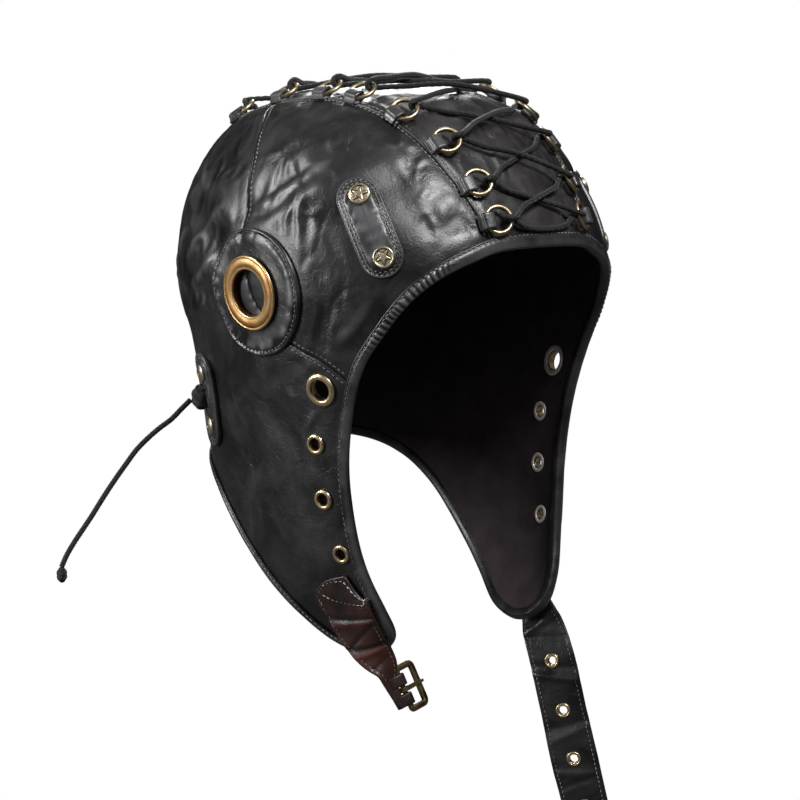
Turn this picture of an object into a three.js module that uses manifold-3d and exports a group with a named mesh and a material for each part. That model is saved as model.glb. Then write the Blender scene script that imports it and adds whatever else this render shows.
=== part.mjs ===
// Aviator hat of soft black leather with a laced crown, ear flaps and chin straps.
// Millimetres, +Z up, the face looks towards -Y and the wearer's right ear is at -X.
// The origin is the highest point inside the crown, where the hat sits on the head.
import * as THREE from "three";
import { mergeVertices } from "three/addons/utils/BufferGeometryUtils.js";
import Module from "manifold-3d";

const wasm = await Module();
wasm.setup();

// Driving sizes

const gap = 0.3;
const leather = 1.3;
const liningThickness = 0.8;
const wallThickness = leather + gap + liningThickness;
const bindingLayer = 0.8;
const patchLeather = 1.4;
const aroundSteps = 30;
const formSteps = 16;
const formTop = 0.3;
const formSpread = 1.08;

// The head form: one row for each height of the leather's outer face, from crown to chin.
const FORM = [
  { z: 2.4, side: 0, front: 0, back: 0, square: 2.0 },
  { z: 0.4, side: 27, front: 21, back: 36, square: 2.0 },
  { z: -5.5, side: 49, front: 40, back: 64, square: 2.05 },
  { z: -17.5, side: 67, front: 57, back: 86, square: 2.1 },
  { z: -36, side: 80, front: 73, back: 98.5, square: 2.15 },
  { z: -57, side: 86, front: 85, back: 105, square: 2.25 },
  { z: -82, side: 86.5, front: 90, back: 105.5, square: 2.35 },
  { z: -110, side: 82, front: 88, back: 99, square: 2.35 },
  { z: -140, side: 76.5, front: 84, back: 95, square: 2.3 },
  { z: -170, side: 73, front: 82, back: 92, square: 2.3 },
  { z: -200, side: 68.5, front: 82, back: 90, square: 2.3 },
  { z: -228, side: 60, front: 79, back: 84, square: 2.3 },
  { z: -262, side: 38, front: 68, back: 72, square: 2.3 },
];

// Soft folds on both sides, each a line seen from the side; height above zero is a ridge.
const FOLDS = [
  { y0: 8, z0: -50, y1: -30, z1: -28, width: 7, height: -1.6 },
  { y0: -2, z0: -60, y1: -40, z1: -36, width: 7, height: 1.2 },
  { y0: 50, z0: -52, y1: 20, z1: -72, width: 8, height: -1.5 },
  { y0: 52, z0: -78, y1: 28, z1: -100, width: 8, height: -1.3 },
  { y0: 40, z0: -128, y1: 18, z1: -160, width: 9, height: -1.2 },
  { y0: -56, z0: -40, y1: -72, z1: -56, width: 7, height: -1.2 },
];
const FOLD_FADE = { from: 30, over: 20 };

// The hat's lower edge seen from the side: forehead, cheek, flap tip and nape.
// The right flap lies further back than the left one by twice the lean. The band is the
// width of the folded binding.
const FACE_EDGE = [
  { y: -104, z: -65.3, lean: 0, band: 5.6 },
  { y: -88, z: -65.5, lean: 0, band: 5.6 },
  { y: -81.5, z: -71.5, lean: 0, band: 5.2 },
  { y: -71, z: -83.5, lean: 0, band: 4.6 },
  { y: -60, z: -99.5, lean: 0.5, band: 4.2 },
  { y: -48.5, z: -118.6, lean: 1.5, band: 3.8 },
  { y: -41, z: -143.7, lean: 2.5, band: 3.5 },
  { y: -38.4, z: -169, lean: 2.5, band: 3.5 },
  { y: -41, z: -200, lean: 2.5, band: 3.7 },
  { y: -46, z: -222, lean: 2, band: 4 },
  { y: -46, z: -234, lean: 1.5, band: 4 },
  { y: -39, z: -241.5, lean: 1, band: 4 },
];
const REAR_EDGE = [
  { y: -39, z: -241.5, lean: 1, band: 3.6 },
  { y: -27, z: -244, lean: 0.5, band: 3.6 },
  { y: -12, z: -240, lean: 0, band: 3.6 },
  { y: 3, z: -228.5, lean: 0, band: 3.6 },
  { y: 17, z: -215.5, lean: 0, band: 3.6 },
  { y: 29, z: -203, lean: 0, band: 3.6 },
  { y: 43, z: -188.5, lean: 0, band: 3.6 },
  { y: 57, z: -177, lean: 0, band: 3.6 },
  { y: 73, z: -169, lean: 0, band: 3.6 },
  { y: 92, z: -165, lean: 0, band: 3.6 },
  { y: 122, z: -163.5, lean: 0, band: 3.6 },
];

// The crown strip between its two seams; the angle turns over the crown from the forehead.
const FAN = { y: 10, z: -75 };
const STRIP = [
  { angle: -8, half: 28.5 },
  { angle: 10, half: 31 },
  { angle: 25, half: 36.5 },
  { angle: 45, half: 42 },
  { angle: 65, half: 46 },
  { angle: 90, half: 46.5 },
  { angle: 112, half: 43.5 },
  { angle: 140, half: 38 },
  { angle: 170, half: 33 },
  { angle: 200, half: 30 },
  { angle: 236, half: 28 },
];

// The seam between the front and rear side panels, seen from the side.
const SIDE_SEAM = [
  { y: 48, z: 8 },
  { y: 34, z: -7 },
  { y: 24, z: -14 },
  { y: 17.5, z: -22 },
  { y: 11.5, z: -33.5 },
  { y: 8.5, z: -51 },
  { y: 7, z: -68 },
  { y: 2, z: -90 },
  { y: -16.5, z: -107 },
  { y: -32, z: -114 },
  { y: -45, z: -124 },
  { y: -62, z: -138 },
];

const EAR = { y: 2, z: -86, patchRadius: 28, holeRadius: 11 };
const GROMMET = {
  outer: 16.2, inner: 10, barrel: 10.6, root: 3, edge: 0.9, roll: 1.6, height: 2.6, sides: 18,
};
const TEMPLE = { y: -51, z: -57, lean: -2.5, length: 46, width: 19, snapOffset: 14 };
const NAPE_PATCH = { angle: 128, z: -138, length: 44, width: 19, studOffset: 12 };
const SNAP = { radius: 4.8, height: 1.9 };
const STUD = { radius: 4.2, height: 1.8 };
const BUTTON = { root: 2, edge: 0.9, crown: 0.7, sides: 10 };
const PATCH_CUT = { under: 14, over: 12, sides: 22 };

const EYELETS = [
  { name: "upper", y: -29, z: -126, flange: 7.3, bore: 4.3 },
  { name: "second", y: -23, z: -150, flange: 4.6, bore: 2.4 },
  { name: "third", y: -24.5, z: -174, flange: 4.6, bore: 2.4 },
  { name: "lower", y: -30.5, z: -197.5, flange: 4.3, bore: 2.2 },
];
const EYELET = { wall: 0.7, seat: 0.9, rim: 0.8, roll: 0.6, sides: 12 };

// Lace rings from the forehead backwards, on both seams.
const RINGS = [
  { angle: 12, lateral: 26 },
  { angle: 22.5, lateral: 28.5 },
  { angle: 37, lateral: 31.5 },
  { angle: 52, lateral: 37.5 },
  { angle: 69, lateral: 40 },
  { angle: 83.5, lateral: 41 },
  { angle: 107, lateral: 38.5 },
  { angle: 131, lateral: 34 },
];
const RING = { radius: 5.7, wire: 0.85, lift: 3.0, tilt: 14, around: 12, across: 5 };
const TAB = { width: 6.2, around: 1.0, underside: 0.5, root: 1.6, thickness: 2.0 };
const WELT = { half: 1.0, height: 0.8, frontEnd: -60.8, backEnd: -24 };
const LACE = {
  radius: 1.25, hook: 2.6, slant: 1.0, low: 2.1, over: 4.95, rise: 3.0, high: 5.2, bar: 2.9,
  frontBar: 2.2, backBar: 5, barHalf: 0.48, knot: 3.2,
};
const laceSides = 6;

// Straps: one row for each section, with its centre, the way its width runs, and its width.
// A row with a lift instead of an x lies that far above the flap.
const BUCKLE_STRAP = [
  { lift: 0.5, y: -30.5, z: -208, wx: 0.2, wy: -0.95, wz: 0.25, width: 4 },
  { lift: 0.6, y: -27, z: -217, wx: 0.2, wy: -0.95, wz: 0.25, width: 24 },
  { lift: 1.7, y: -30, z: -229, wx: 0.2, wy: -0.95, wz: 0.2, width: 22 },
  { x: -55.2, y: -35.8, z: -240.5, wx: 0.2, wy: -0.9, wz: -0.1, width: 16.5 },
  { x: -50, y: -40.5, z: -249.5, wx: 0.19, wy: -0.7, wz: -0.6, width: 14 },
  { x: -44.5, y: -43, z: -257, wx: 0.175, wy: -0.38, wz: -0.91, width: 14 },
];
const CHIN_STRAP = [
  { lift: -0.4, y: -27, z: -221, wx: -0.2, wy: 0.95, wz: 0.25, width: 20 },
  { lift: 1.3, y: -33, z: -234, wx: -0.2, wy: 0.95, wz: 0.2, width: 20 },
  { x: 54.2, y: -39.5, z: -247, wx: -0.25, wy: 0.95, wz: 0.1, width: 20 },
  { x: 53.4, y: -46.5, z: -262, wx: -0.35, wy: 0.93, wz: 0, width: 20 },
  { x: 54.2, y: -53, z: -285, wx: -0.5, wy: 0.86, wz: 0, width: 19.5 },
  { x: 56.5, y: -58, z: -308, wx: -0.5, wy: 0.86, wz: 0, width: 19.5 },
  { x: 60, y: -62.5, z: -331, wx: -0.45, wy: 0.88, wz: 0, width: 19.5 },
  { x: 62.5, y: -66, z: -347, wx: -0.45, wy: 0.88, wz: 0, width: 19 },
  { x: 63.5, y: -68, z: -356, wx: -0.45, wy: 0.88, wz: 0, width: 9 },
];
const strapThickness = 2.2;
const STRAP_HOLES = [-262.5, -285, -307.5, -330];
const strapHoleRadius = 2.4;

// Buckle: heel bar centre, the way out to the end bar, and the way its bars' length runs.
const BUCKLE = {
  heel: new THREE.Vector3(-41, -43.5, -259),
  out: new THREE.Vector3(0.983, 0.085, 0.154),
  along: new THREE.Vector3(0.175, -0.38, -0.91),
  depth: 10.8,
  length: 21,
  bar: 1.1,
  heelReach: 1.6,
  sideWidth: 2.4,
  endWidth: 2.6,
};
const PRONG = { width: 2.2, thickness: 1.2, eye: 1.1, past: 0.4, slot: 3.4 };
const STRAP_LOOP = { wall: 1.2, root: 5.5, slotReach: 4.2, half: 1.3 };

// The free cord at the nape: its route from the knot on the patch.
const CORD_ROUTE = [
  [-73.4, 59.8, -138.6],
  [-76.6, 62.4, -142.6],
  [-80.2, 65.2, -147.2],
  [-84.7, 68.8, -151.5],
  [-88.9, 72.1, -156.1],
  [-92.7, 75.3, -161.2],
  [-96.1, 77.9, -166.9],
  [-99.3, 80.6, -172.7],
  [-102.5, 83.1, -178.6],
  [-105.5, 85.6, -184.6],
  [-108.3, 88.2, -190.7],
  [-111.3, 90.9, -196.7],
  [-114.3, 93.6, -202.7],
  [-117.0, 96.0, -208.8],
  [-118.8, 97.5, -214.0],
];
const cordRadius = 1.25;
const cordKnot = { radius: 2.3, height: 3.4 };
const exitKnot = { radius: 4.2, height: 5.4, x: 3.6, y: -2.9, z: 1.2 };

// Looks

const plain = (color, roughness, metalness) =>
  new THREE.MeshStandardMaterial({ color, roughness, metalness });
const blackLeather = plain(0x1c1c1e, 0.42, 0);
const blackLining = plain(0x0c0a0b, 0.8, 0);
const brownLeather = plain(0x35201a, 0.5, 0);
const blackCord = plain(0x151314, 0.7, 0);
const agedBrass = plain(0xa5813f, 0.35, 1);
const darkBrass = plain(0x5a4b2d, 0.4, 1);

// Solids: closed meshes in and out of the boolean library

const REACH = 160;
const FORM_BOTTOM = FORM.length - 1;

function toSolid(geometry) {
  const bare = geometry.index ? geometry.toNonIndexed() : geometry.clone();
  for (const name of Object.keys(bare.attributes)) {
    if (name !== "position") bare.deleteAttribute(name);
  }
  const merged = mergeVertices(bare, 1e-4);
  const solid = new wasm.Manifold(new wasm.Mesh({
    numProp: 3,
    vertProperties: new Float32Array(merged.attributes.position.array),
    triVerts: new Uint32Array(merged.index.array),
  }));
  return solid;
}

function toGeometry(solid) {
  const mesh = solid.getMesh();
  const geometry = new THREE.BufferGeometry();
  geometry.setAttribute("position", new THREE.BufferAttribute(mesh.vertProperties, 3));
  geometry.setIndex(new THREE.BufferAttribute(mesh.triVerts, 1));
  geometry.computeVertexNormals();
  return geometry;
}

// A closed skin through equal loops of points, with flat ends.
function loft(loops) {
  const count = loops[0].length;
  const points = loops.flat();
  const faces = [];
  for (let i = 0; i < loops.length - 1; i++) {
    for (let j = 0; j < count; j++) {
      const a = i * count + j;
      const b = i * count + ((j + 1) % count);
      faces.push(a, b, a + count, b, b + count, a + count);
    }
  }
  const caps = [[loops[0], 0, true], [loops.at(-1), (loops.length - 1) * count, false]];
  for (const [loop, start, isFirst] of caps) {
    const middle = points.length;
    const sum = new THREE.Vector3();
    for (const point of loop) sum.add(point);
    points.push(sum.divideScalar(count));
    for (let j = 0; j < count; j++) {
      const a = start + j;
      const b = start + ((j + 1) % count);
      faces.push(middle, isFirst ? b : a, isFirst ? a : b);
    }
  }
  let volume = 0;
  for (let i = 0; i < faces.length; i += 3) {
    const [a, b, c] = [points[faces[i]], points[faces[i + 1]], points[faces[i + 2]]];
    volume += a.dot(b.clone().cross(c));
  }
  if (volume < 0) faces.reverse();
  const geometry = new THREE.BufferGeometry();
  geometry.setAttribute("position", new THREE.Float32BufferAttribute(points.flatMap((p) => p.toArray()), 3));
  geometry.setIndex(faces);
  return geometry;
}

// A prism along X over an outline of points seen from the side.
function sidePrism(outline, from = -REACH, to = REACH) {
  const shape = new THREE.Shape(outline.map((p) => new THREE.Vector2(p.y, p.z)));
  const geometry = new THREE.ExtrudeGeometry(shape, { depth: to - from, bevelEnabled: false });
  const turn = new THREE.Matrix4().makeBasis(
    new THREE.Vector3(0, 1, 0),
    new THREE.Vector3(0, 0, 1),
    new THREE.Vector3(1, 0, 0),
  );
  turn.setPosition(from, 0, 0);
  return toSolid(geometry.applyMatrix4(turn));
}

// A turned body whose profile of radius and height closes on itself, standing along +Z.
function turned(profile, sides) {
  const closed = [...profile, profile[0]].map(([radius, height]) => new THREE.Vector2(radius, height));
  return new THREE.LatheGeometry(closed, sides).rotateX(Math.PI / 2);
}

function cylinder(radius, from, to, sides = 20) {
  const geometry = new THREE.CylinderGeometry(radius, radius, to - from, sides);
  return geometry.rotateX(Math.PI / 2).translate(0, 0, (from + to) / 2);
}

// The head form as a function of height and direction

function curveThroughRows(rows, at, before) {
  const last = rows.length - 1;
  const index = Math.min(Math.max(Math.floor(at), 0), last - 1);
  const s = at - index;
  const row = {};
  for (const key of Object.keys(rows[0])) {
    const b = rows[index][key];
    const c = rows[index + 1][key];
    const a = index > 0 ? rows[index - 1][key] : before[key];
    const d = index < last - 1 ? rows[index + 2][key] : 2 * c - b;
    row[key] = 0.5 * (2 * b + (c - a) * s + (2 * a - 5 * b + 4 * c - d) * s * s
      + (3 * b - a - 3 * c + d) * s * s * s);
  }
  return row;
}

const overTheTop = { ...FORM[1], side: -FORM[1].side, front: -FORM[1].front, back: -FORM[1].back };
const formRow = (at) => curveThroughRows(FORM, at, overTheTop);

function formRowAtHeight(z) {
  let low = 0;
  let high = FORM_BOTTOM;
  for (let i = 0; i < 30; i++) {
    const middle = (low + high) / 2;
    if (formRow(middle).z > z) low = middle;
    else high = middle;
  }
  return formRow((low + high) / 2);
}

// Below zero inside the form and above zero outside it.
function formValue(x, y, z) {
  const row = formRowAtHeight(Math.min(z, FORM[0].z - 0.001));
  const reach = y < 0 ? row.front : row.back;
  const inPlan = (Math.abs(x) / row.side) ** row.square + (Math.abs(y) / reach) ** row.square - 1;
  return z >= FORM[0].z ? Math.max(inPlan, 0.001) : inPlan;
}

const normalStep = 0.4;
const topRadius = 6;
const halvings = 40;

function formNormal(point) {
  const step = normalStep;
  const { x, y, z } = point;
  const normal = new THREE.Vector3(
    formValue(x + step, y, z) - formValue(x - step, y, z),
    formValue(x, y + step, z) - formValue(x, y - step, z),
    formValue(x, y, z + step) - formValue(x, y, z - step),
  );
  if (Math.hypot(x, y) < topRadius) return new THREE.Vector3(0, 0, 1);
  return normal.normalize();
}

function foldHeight(point) {
  let height = 0;
  for (const fold of FOLDS) {
    const along = new THREE.Vector2(fold.y1 - fold.y0, fold.z1 - fold.z0);
    const away = new THREE.Vector2(point.y - fold.y0, point.z - fold.z0);
    const part = Math.min(Math.max(away.dot(along) / along.lengthSq(), 0), 1);
    const distance = away.distanceTo(along.multiplyScalar(part)) / fold.width;
    height += fold.height * Math.exp(-distance * distance);
  }
  const towardsSide = (Math.abs(point.x) - FOLD_FADE.from) / FOLD_FADE.over;
  return height * Math.min(Math.max(towardsSide, 0), 1);
}

const lifted = (point, lift) =>
  point.clone().addScaledVector(formNormal(point), foldHeight(point) + lift);

function formSolid(offset) {
  const loops = [];
  for (let i = 0; i <= formSteps; i++) {
    const at = formTop + (FORM_BOTTOM - formTop) * (i / formSteps) ** formSpread;
    const row = formRow(at);
    const loop = [];
    for (let j = 0; j < aroundSteps; j++) {
      const angle = (j + 0.5) / aroundSteps * 2 * Math.PI;
      const [sine, cosine] = [Math.sin(angle), Math.cos(angle)];
      const reach = cosine > 0 ? -row.front : row.back;
      const point = new THREE.Vector3(
        row.side * Math.sign(sine) * Math.abs(sine) ** (2 / row.square),
        reach * Math.abs(cosine) ** (2 / row.square),
        row.z,
      );
      loop.push(lifted(point, offset));
    }
    loops.push(loop);
  }
  return toSolid(loft(loops));
}

function castToForm(origin, direction, lift = 0) {
  const ray = direction.clone().normalize();
  let near = 0;
  let far = REACH;
  for (let i = 0; i < halvings; i++) {
    const middle = (near + far) / 2;
    const at = origin.clone().addScaledVector(ray, middle);
    if (formValue(at.x, at.y, at.z) < 0) near = middle;
    else far = middle;
  }
  const point = origin.clone().addScaledVector(ray, near);
  return { point: lifted(point, lift), normal: formNormal(point) };
}

const fromSide = (side, y, z, lift = 0) =>
  castToForm(new THREE.Vector3(0, y, z), new THREE.Vector3(side, 0, 0), lift);

function fromFan(lateral, degrees, lift = 0) {
  const angle = THREE.MathUtils.degToRad(degrees);
  const direction = new THREE.Vector3(0, -Math.cos(angle), Math.sin(angle));
  return castToForm(new THREE.Vector3(lateral, FAN.y, FAN.z), direction, lift);
}

// A frame with Z along the normal and Y as near as can be to the given way up.
function standing(point, normal, up) {
  const across = new THREE.Vector3().crossVectors(up, normal).normalize();
  const upright = new THREE.Vector3().crossVectors(normal, across);
  return new THREE.Matrix4().makeBasis(across, upright, normal).setPosition(point);
}

const placed = (geometry, frame) => toSolid(geometry.clone().applyMatrix4(frame));

// Leather walls: layers of the form, cut along the hat's edges and seams

const faces = new Map();
const face = (offset) => {
  if (!faces.has(offset)) faces.set(offset, formSolid(offset));
  return faces.get(offset);
};
const layer = (low, high) => face(high).subtract(face(low));

// A smooth line through the rows, seen from the side, that carries the band's width along.
const smooth = (rows, steps) =>
  new THREE.CatmullRomCurve3(rows.map((row) => new THREE.Vector3(row.y, row.z, row.band)),
    false, "catmullrom").getPoints(steps).map((p) => ({ y: p.x, z: p.y, band: p.z }));

// Moves an open line sideways, to its left where the distance is above zero.
function shifted(line, distanceAt) {
  return line.map((point, i) => {
    const before = line[Math.max(i - 1, 0)];
    const after = line[Math.min(i + 1, line.length - 1)];
    const part = distanceAt(point) / Math.hypot(after.y - before.y, after.z - before.z);
    return {
      y: point.y - part * (after.z - before.z),
      z: point.z + part * (after.y - before.y),
    };
  });
}

const bandOutline = (line, outside, more = 0) =>
  [...shifted(line, () => -outside), ...shifted(line, (point) => point.band + more).reverse()];

const edgeLine = (rows, side, steps) =>
  smooth(rows.map((row) => ({ ...row, y: row.y - side * row.lean })), steps);
const faceLine = (side) => edgeLine(FACE_EDGE, side, 22);
const rearLine = (side) => edgeLine(REAR_EDGE, side, 18);

// Each half of the hat is cut by its own outline; the two meet in the middle plane.
const bothSides = (outlineOf) =>
  sidePrism(outlineOf(-1), -REACH, 0).add(sidePrism(outlineOf(1), 0, REACH));

function hatOutline(side, grow) {
  const front = shifted(faceLine(side), () => -grow);
  const rear = shifted(rearLine(side), () => -grow);
  return [
    { y: -REACH, z: front[0].z },
    ...front,
    ...rear,
    { y: REACH, z: rear.at(-1).z },
    { y: REACH, z: 40 },
    { y: -REACH, z: 40 },
  ];
}

function stripFan(grow) {
  const loops = STRIP.map((row) => {
    const angle = THREE.MathUtils.degToRad(row.angle);
    const half = row.half + grow;
    return [[-half, 12], [half, 12], [half, REACH], [-half, REACH]].map(([x, radius]) =>
      new THREE.Vector3(x, FAN.y - radius * Math.cos(angle), FAN.z + radius * Math.sin(angle)));
  });
  return toSolid(loft(loops));
}

const wholeHat = bothSides((side) => hatOutline(side, 0));
const cutReach = 8;
const eyeletSeats = [];
const eyeletRings = [];
for (const side of [-1, 1]) {
  for (const row of EYELETS) {
    const seat = fromSide(side, row.y, row.z);
    const frame = standing(seat.point, seat.normal, new THREE.Vector3(0, 0, 1));
    const barrel = row.bore + EYELET.wall;
    const outside = EYELET.seat;
    const inside = -wallThickness - EYELET.seat;
    eyeletSeats.push(placed(cylinder(barrel + gap, -cutReach, cutReach, EYELET.sides), frame));
    const ring = turned([
      [row.bore, inside - EYELET.rim],
      [row.flange, inside - EYELET.rim],
      [row.flange, inside],
      [barrel, inside],
      [barrel, outside],
      [row.flange, outside],
      [row.flange - EYELET.roll, outside + EYELET.rim],
      [row.bore, outside + EYELET.rim],
    ], EYELET.sides);
    eyeletRings.push({
      name: `eyelet_${row.name}_${side < 0 ? "right" : "left"}`,
      solid: placed(ring, frame),
    });
  }
}

const pierced = (solid) => eyeletSeats.reduce((left, seat) => left.subtract(seat), solid);

const smallestPanel = 500;
const flapReach = -160;
const leatherWall = pierced(layer(-leather, 0).intersect(wholeHat));
const crownStrip = leatherWall.intersect(stripFan(-gap / 2));
const seamLine = smooth(SIDE_SEAM.map((row) => ({ ...row, band: gap / 2 })), 20);
const seamKnife = sidePrism(bandOutline(seamLine, gap / 2));
const sidePanels = leatherWall.subtract(stripFan(gap / 2)).subtract(seamKnife).decompose()
  .filter((panel) => panel.volume() > smallestPanel);

function panelName(panel) {
  const { min, max } = panel.boundingBox();
  const place = (min[2] < flapReach) ? "flap_panel" : "temple_panel";
  return `${place}_${min[0] + max[0] < 0 ? "right" : "left"}`;
}

const lining = pierced(layer(-wallThickness, -leather - gap).intersect(wholeHat));

const edgeCover = gap + bindingLayer;
const bindingBody = face(edgeCover).subtract(face(-wallThickness - edgeCover));
const wallAndGap = face(gap).subtract(face(-wallThickness - gap))
  .intersect(bothSides((side) => hatOutline(side, gap)));
const band = (lineOf, outside, more) =>
  bothSides((side) => bandOutline(lineOf(side), outside, more));
const faceBinding = bindingBody.intersect(band(faceLine, edgeCover)).subtract(wallAndGap);
const rearBinding = bindingBody.intersect(band(rearLine, edgeCover)).subtract(wallAndGap)
  .subtract(band(faceLine, edgeCover + gap, gap));

// Patches sewn on the outside, with their grommets, snaps and studs

const patchFace = gap + patchLeather;
const patchLayer = layer(gap, patchFace);
const aboveLeather = face(gap);
const abovePatch = face(patchFace + gap);

function stadium(length, width) {
  const radius = width / 2;
  const half = length / 2 - radius;
  const shape = new THREE.Shape();
  shape.absarc(0, half, radius, 0, Math.PI, false);
  shape.absarc(0, -half, radius, Math.PI, 2 * Math.PI, false);
  const options = { depth: PATCH_CUT.under + PATCH_CUT.over, bevelEnabled: false, curveSegments: 5 };
  return new THREE.ExtrudeGeometry(shape, options).translate(0, 0, -PATCH_CUT.under);
}

const patchRound = (radius, sides) => cylinder(radius, -PATCH_CUT.under, PATCH_CUT.over, sides);

function button({ radius, height }) {
  return turned([
    [0, -BUTTON.root],
    [radius, -BUTTON.root],
    [radius, patchFace + BUTTON.edge],
    [radius * BUTTON.crown, patchFace + height],
    [0, patchFace + height],
  ], BUTTON.sides);
}

const pieces = [];
const wallTolerance = 0.08;
const trimTolerance = 0.02;
const add = (name, solid, material, tolerance = trimTolerance) => {
  const mesh = new THREE.Mesh(toGeometry(solid.simplify(tolerance)), material);
  mesh.name = name;
  pieces.push(mesh);
};

add("crown_strip", crownStrip, blackLeather, wallTolerance);
for (const panel of sidePanels) add(panelName(panel), panel, blackLeather, wallTolerance);
add("lining", lining, blackLining, wallTolerance);
add("face_binding", faceBinding, blackLeather, wallTolerance);
add("rear_binding", rearBinding, blackLeather, wallTolerance);

for (const side of [-1, 1]) {
  const hand = side < 0 ? "right" : "left";
  const ear = fromSide(side, EAR.y, EAR.z);
  const earFrame = standing(ear.point, ear.normal, new THREE.Vector3(0, 0, 1));
  const earPatch = patchLayer.intersect(placed(patchRound(EAR.patchRadius, PATCH_CUT.sides), earFrame))
    .subtract(placed(patchRound(EAR.holeRadius, GROMMET.sides), earFrame));
  add(`ear_patch_${hand}`, earPatch, blackLeather);
  const ring = placed(turned([
    [GROMMET.inner, -GROMMET.root],
    [GROMMET.outer, -GROMMET.root],
    [GROMMET.outer, patchFace + GROMMET.edge],
    [GROMMET.outer - GROMMET.roll, patchFace + GROMMET.height],
    [GROMMET.inner + GROMMET.roll, patchFace + GROMMET.height],
    [GROMMET.inner, patchFace + GROMMET.edge],
  ], GROMMET.sides), earFrame);
  const underFlange = abovePatch.subtract(placed(patchRound(GROMMET.barrel, GROMMET.sides), earFrame));
  add(`ear_grommet_${hand}`, ring.subtract(underFlange).subtract(aboveLeather), agedBrass);

  const temple = fromSide(side, TEMPLE.y - side * TEMPLE.lean, TEMPLE.z);
  const templeFrame = standing(temple.point, temple.normal, new THREE.Vector3(0, 0.5, 0.87));
  add(`temple_patch_${hand}`, patchLayer.intersect(placed(stadium(TEMPLE.length, TEMPLE.width), templeFrame)),
    blackLeather);
  for (const [place, offset] of [["upper", TEMPLE.snapOffset], ["lower", -TEMPLE.snapOffset]]) {
    const at = new THREE.Vector3(0, offset, 0).applyMatrix4(templeFrame);
    const seat = fromSide(side, at.y, at.z);
    const frame = standing(seat.point, seat.normal, new THREE.Vector3(0, 0, 1));
    add(`temple_snap_${place}_${hand}`, placed(button(SNAP), frame).subtract(abovePatch), agedBrass);
  }

  const turn = THREE.MathUtils.degToRad(NAPE_PATCH.angle);
  const outwards = new THREE.Vector3(side * Math.sin(turn), -Math.cos(turn), 0);
  const napeSeat = (z) => castToForm(new THREE.Vector3(0, 0, z), outwards);
  const nape = napeSeat(NAPE_PATCH.z);
  const napeFrame = standing(nape.point, nape.normal, new THREE.Vector3(0, 0, 1));
  const napeStadium = placed(stadium(NAPE_PATCH.length, NAPE_PATCH.width), napeFrame);
  add(`nape_patch_${hand}`, patchLayer.intersect(napeStadium), blackLeather);
  for (const [place, offset] of [["upper", NAPE_PATCH.studOffset], ["lower", -NAPE_PATCH.studOffset]]) {
    const seat = napeSeat(NAPE_PATCH.z + offset);
    const frame = standing(seat.point, seat.normal, new THREE.Vector3(0, 0, 1));
    add(`nape_stud_${place}_${hand}`, placed(button(STUD), frame).subtract(abovePatch), agedBrass);
  }
}
for (const ring of eyeletRings) add(ring.name, ring.solid, agedBrass);

// Lace rings in leather tabs along both crown seams

const tilt = THREE.MathUtils.degToRad(RING.tilt);
const sideways = new THREE.Vector3(1, 0, 0);

function ringFrame(side, row) {
  const seat = fromFan(side * row.lateral, row.angle, RING.lift);
  const normal = seat.normal;
  const inwards = sideways.clone().multiplyScalar(-side).projectOnPlane(normal).normalize();
  const along = new THREE.Vector3().crossVectors(normal, inwards);
  return {
    centre: seat.point,
    flatNormal: normal,
    flatInwards: inwards,
    along,
    inwards: inwards.clone().multiplyScalar(Math.cos(tilt)).addScaledVector(normal, Math.sin(tilt)),
    normal: normal.clone().multiplyScalar(Math.cos(tilt)).addScaledVector(inwards, -Math.sin(tilt)),
  };
}

function ringSolid(ring, wire) {
  const frame = new THREE.Matrix4().makeBasis(ring.inwards, ring.along, ring.normal).setPosition(ring.centre);
  return placed(new THREE.TorusGeometry(RING.radius, wire, RING.across, RING.around), frame);
}

const seamHalf = (degrees) => {
  const next = STRIP.findIndex((row) => row.angle > degrees);
  const [a, b] = [STRIP[next - 1], STRIP[next]];
  return THREE.MathUtils.mapLinear(degrees, a.angle, b.angle, a.half, b.half);
};

// The tab's outline: flat from the seam, then round the ring's outer wire.
function tabSolid(ring, reachToSeam) {
  const wireX = -RING.radius * Math.cos(tilt);
  const wireZ = -RING.radius * Math.sin(tilt);
  const round = RING.wire + gap + TAB.around;
  const base = -RING.lift + TAB.underside;
  const shape = new THREE.Shape();
  shape.moveTo(wireX - reachToSeam, base - TAB.root);
  shape.lineTo(wireX, Math.min(base, wireZ - round));
  for (const degrees of [-45, 0, 45, 90]) {
    const angle = THREE.MathUtils.degToRad(degrees);
    shape.lineTo(wireX + round * Math.cos(angle), wireZ + round * Math.sin(angle));
  }
  shape.lineTo(wireX - reachToSeam, base + TAB.thickness);
  const geometry = new THREE.ExtrudeGeometry(shape, { depth: TAB.width, bevelEnabled: false });
  geometry.translate(0, 0, -TAB.width / 2);
  const minusAlong = ring.along.clone().negate();
  const frame = new THREE.Matrix4().makeBasis(ring.flatInwards, ring.flatNormal, minusAlong)
    .setPosition(ring.centre);
  return placed(geometry, frame);
}

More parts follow.
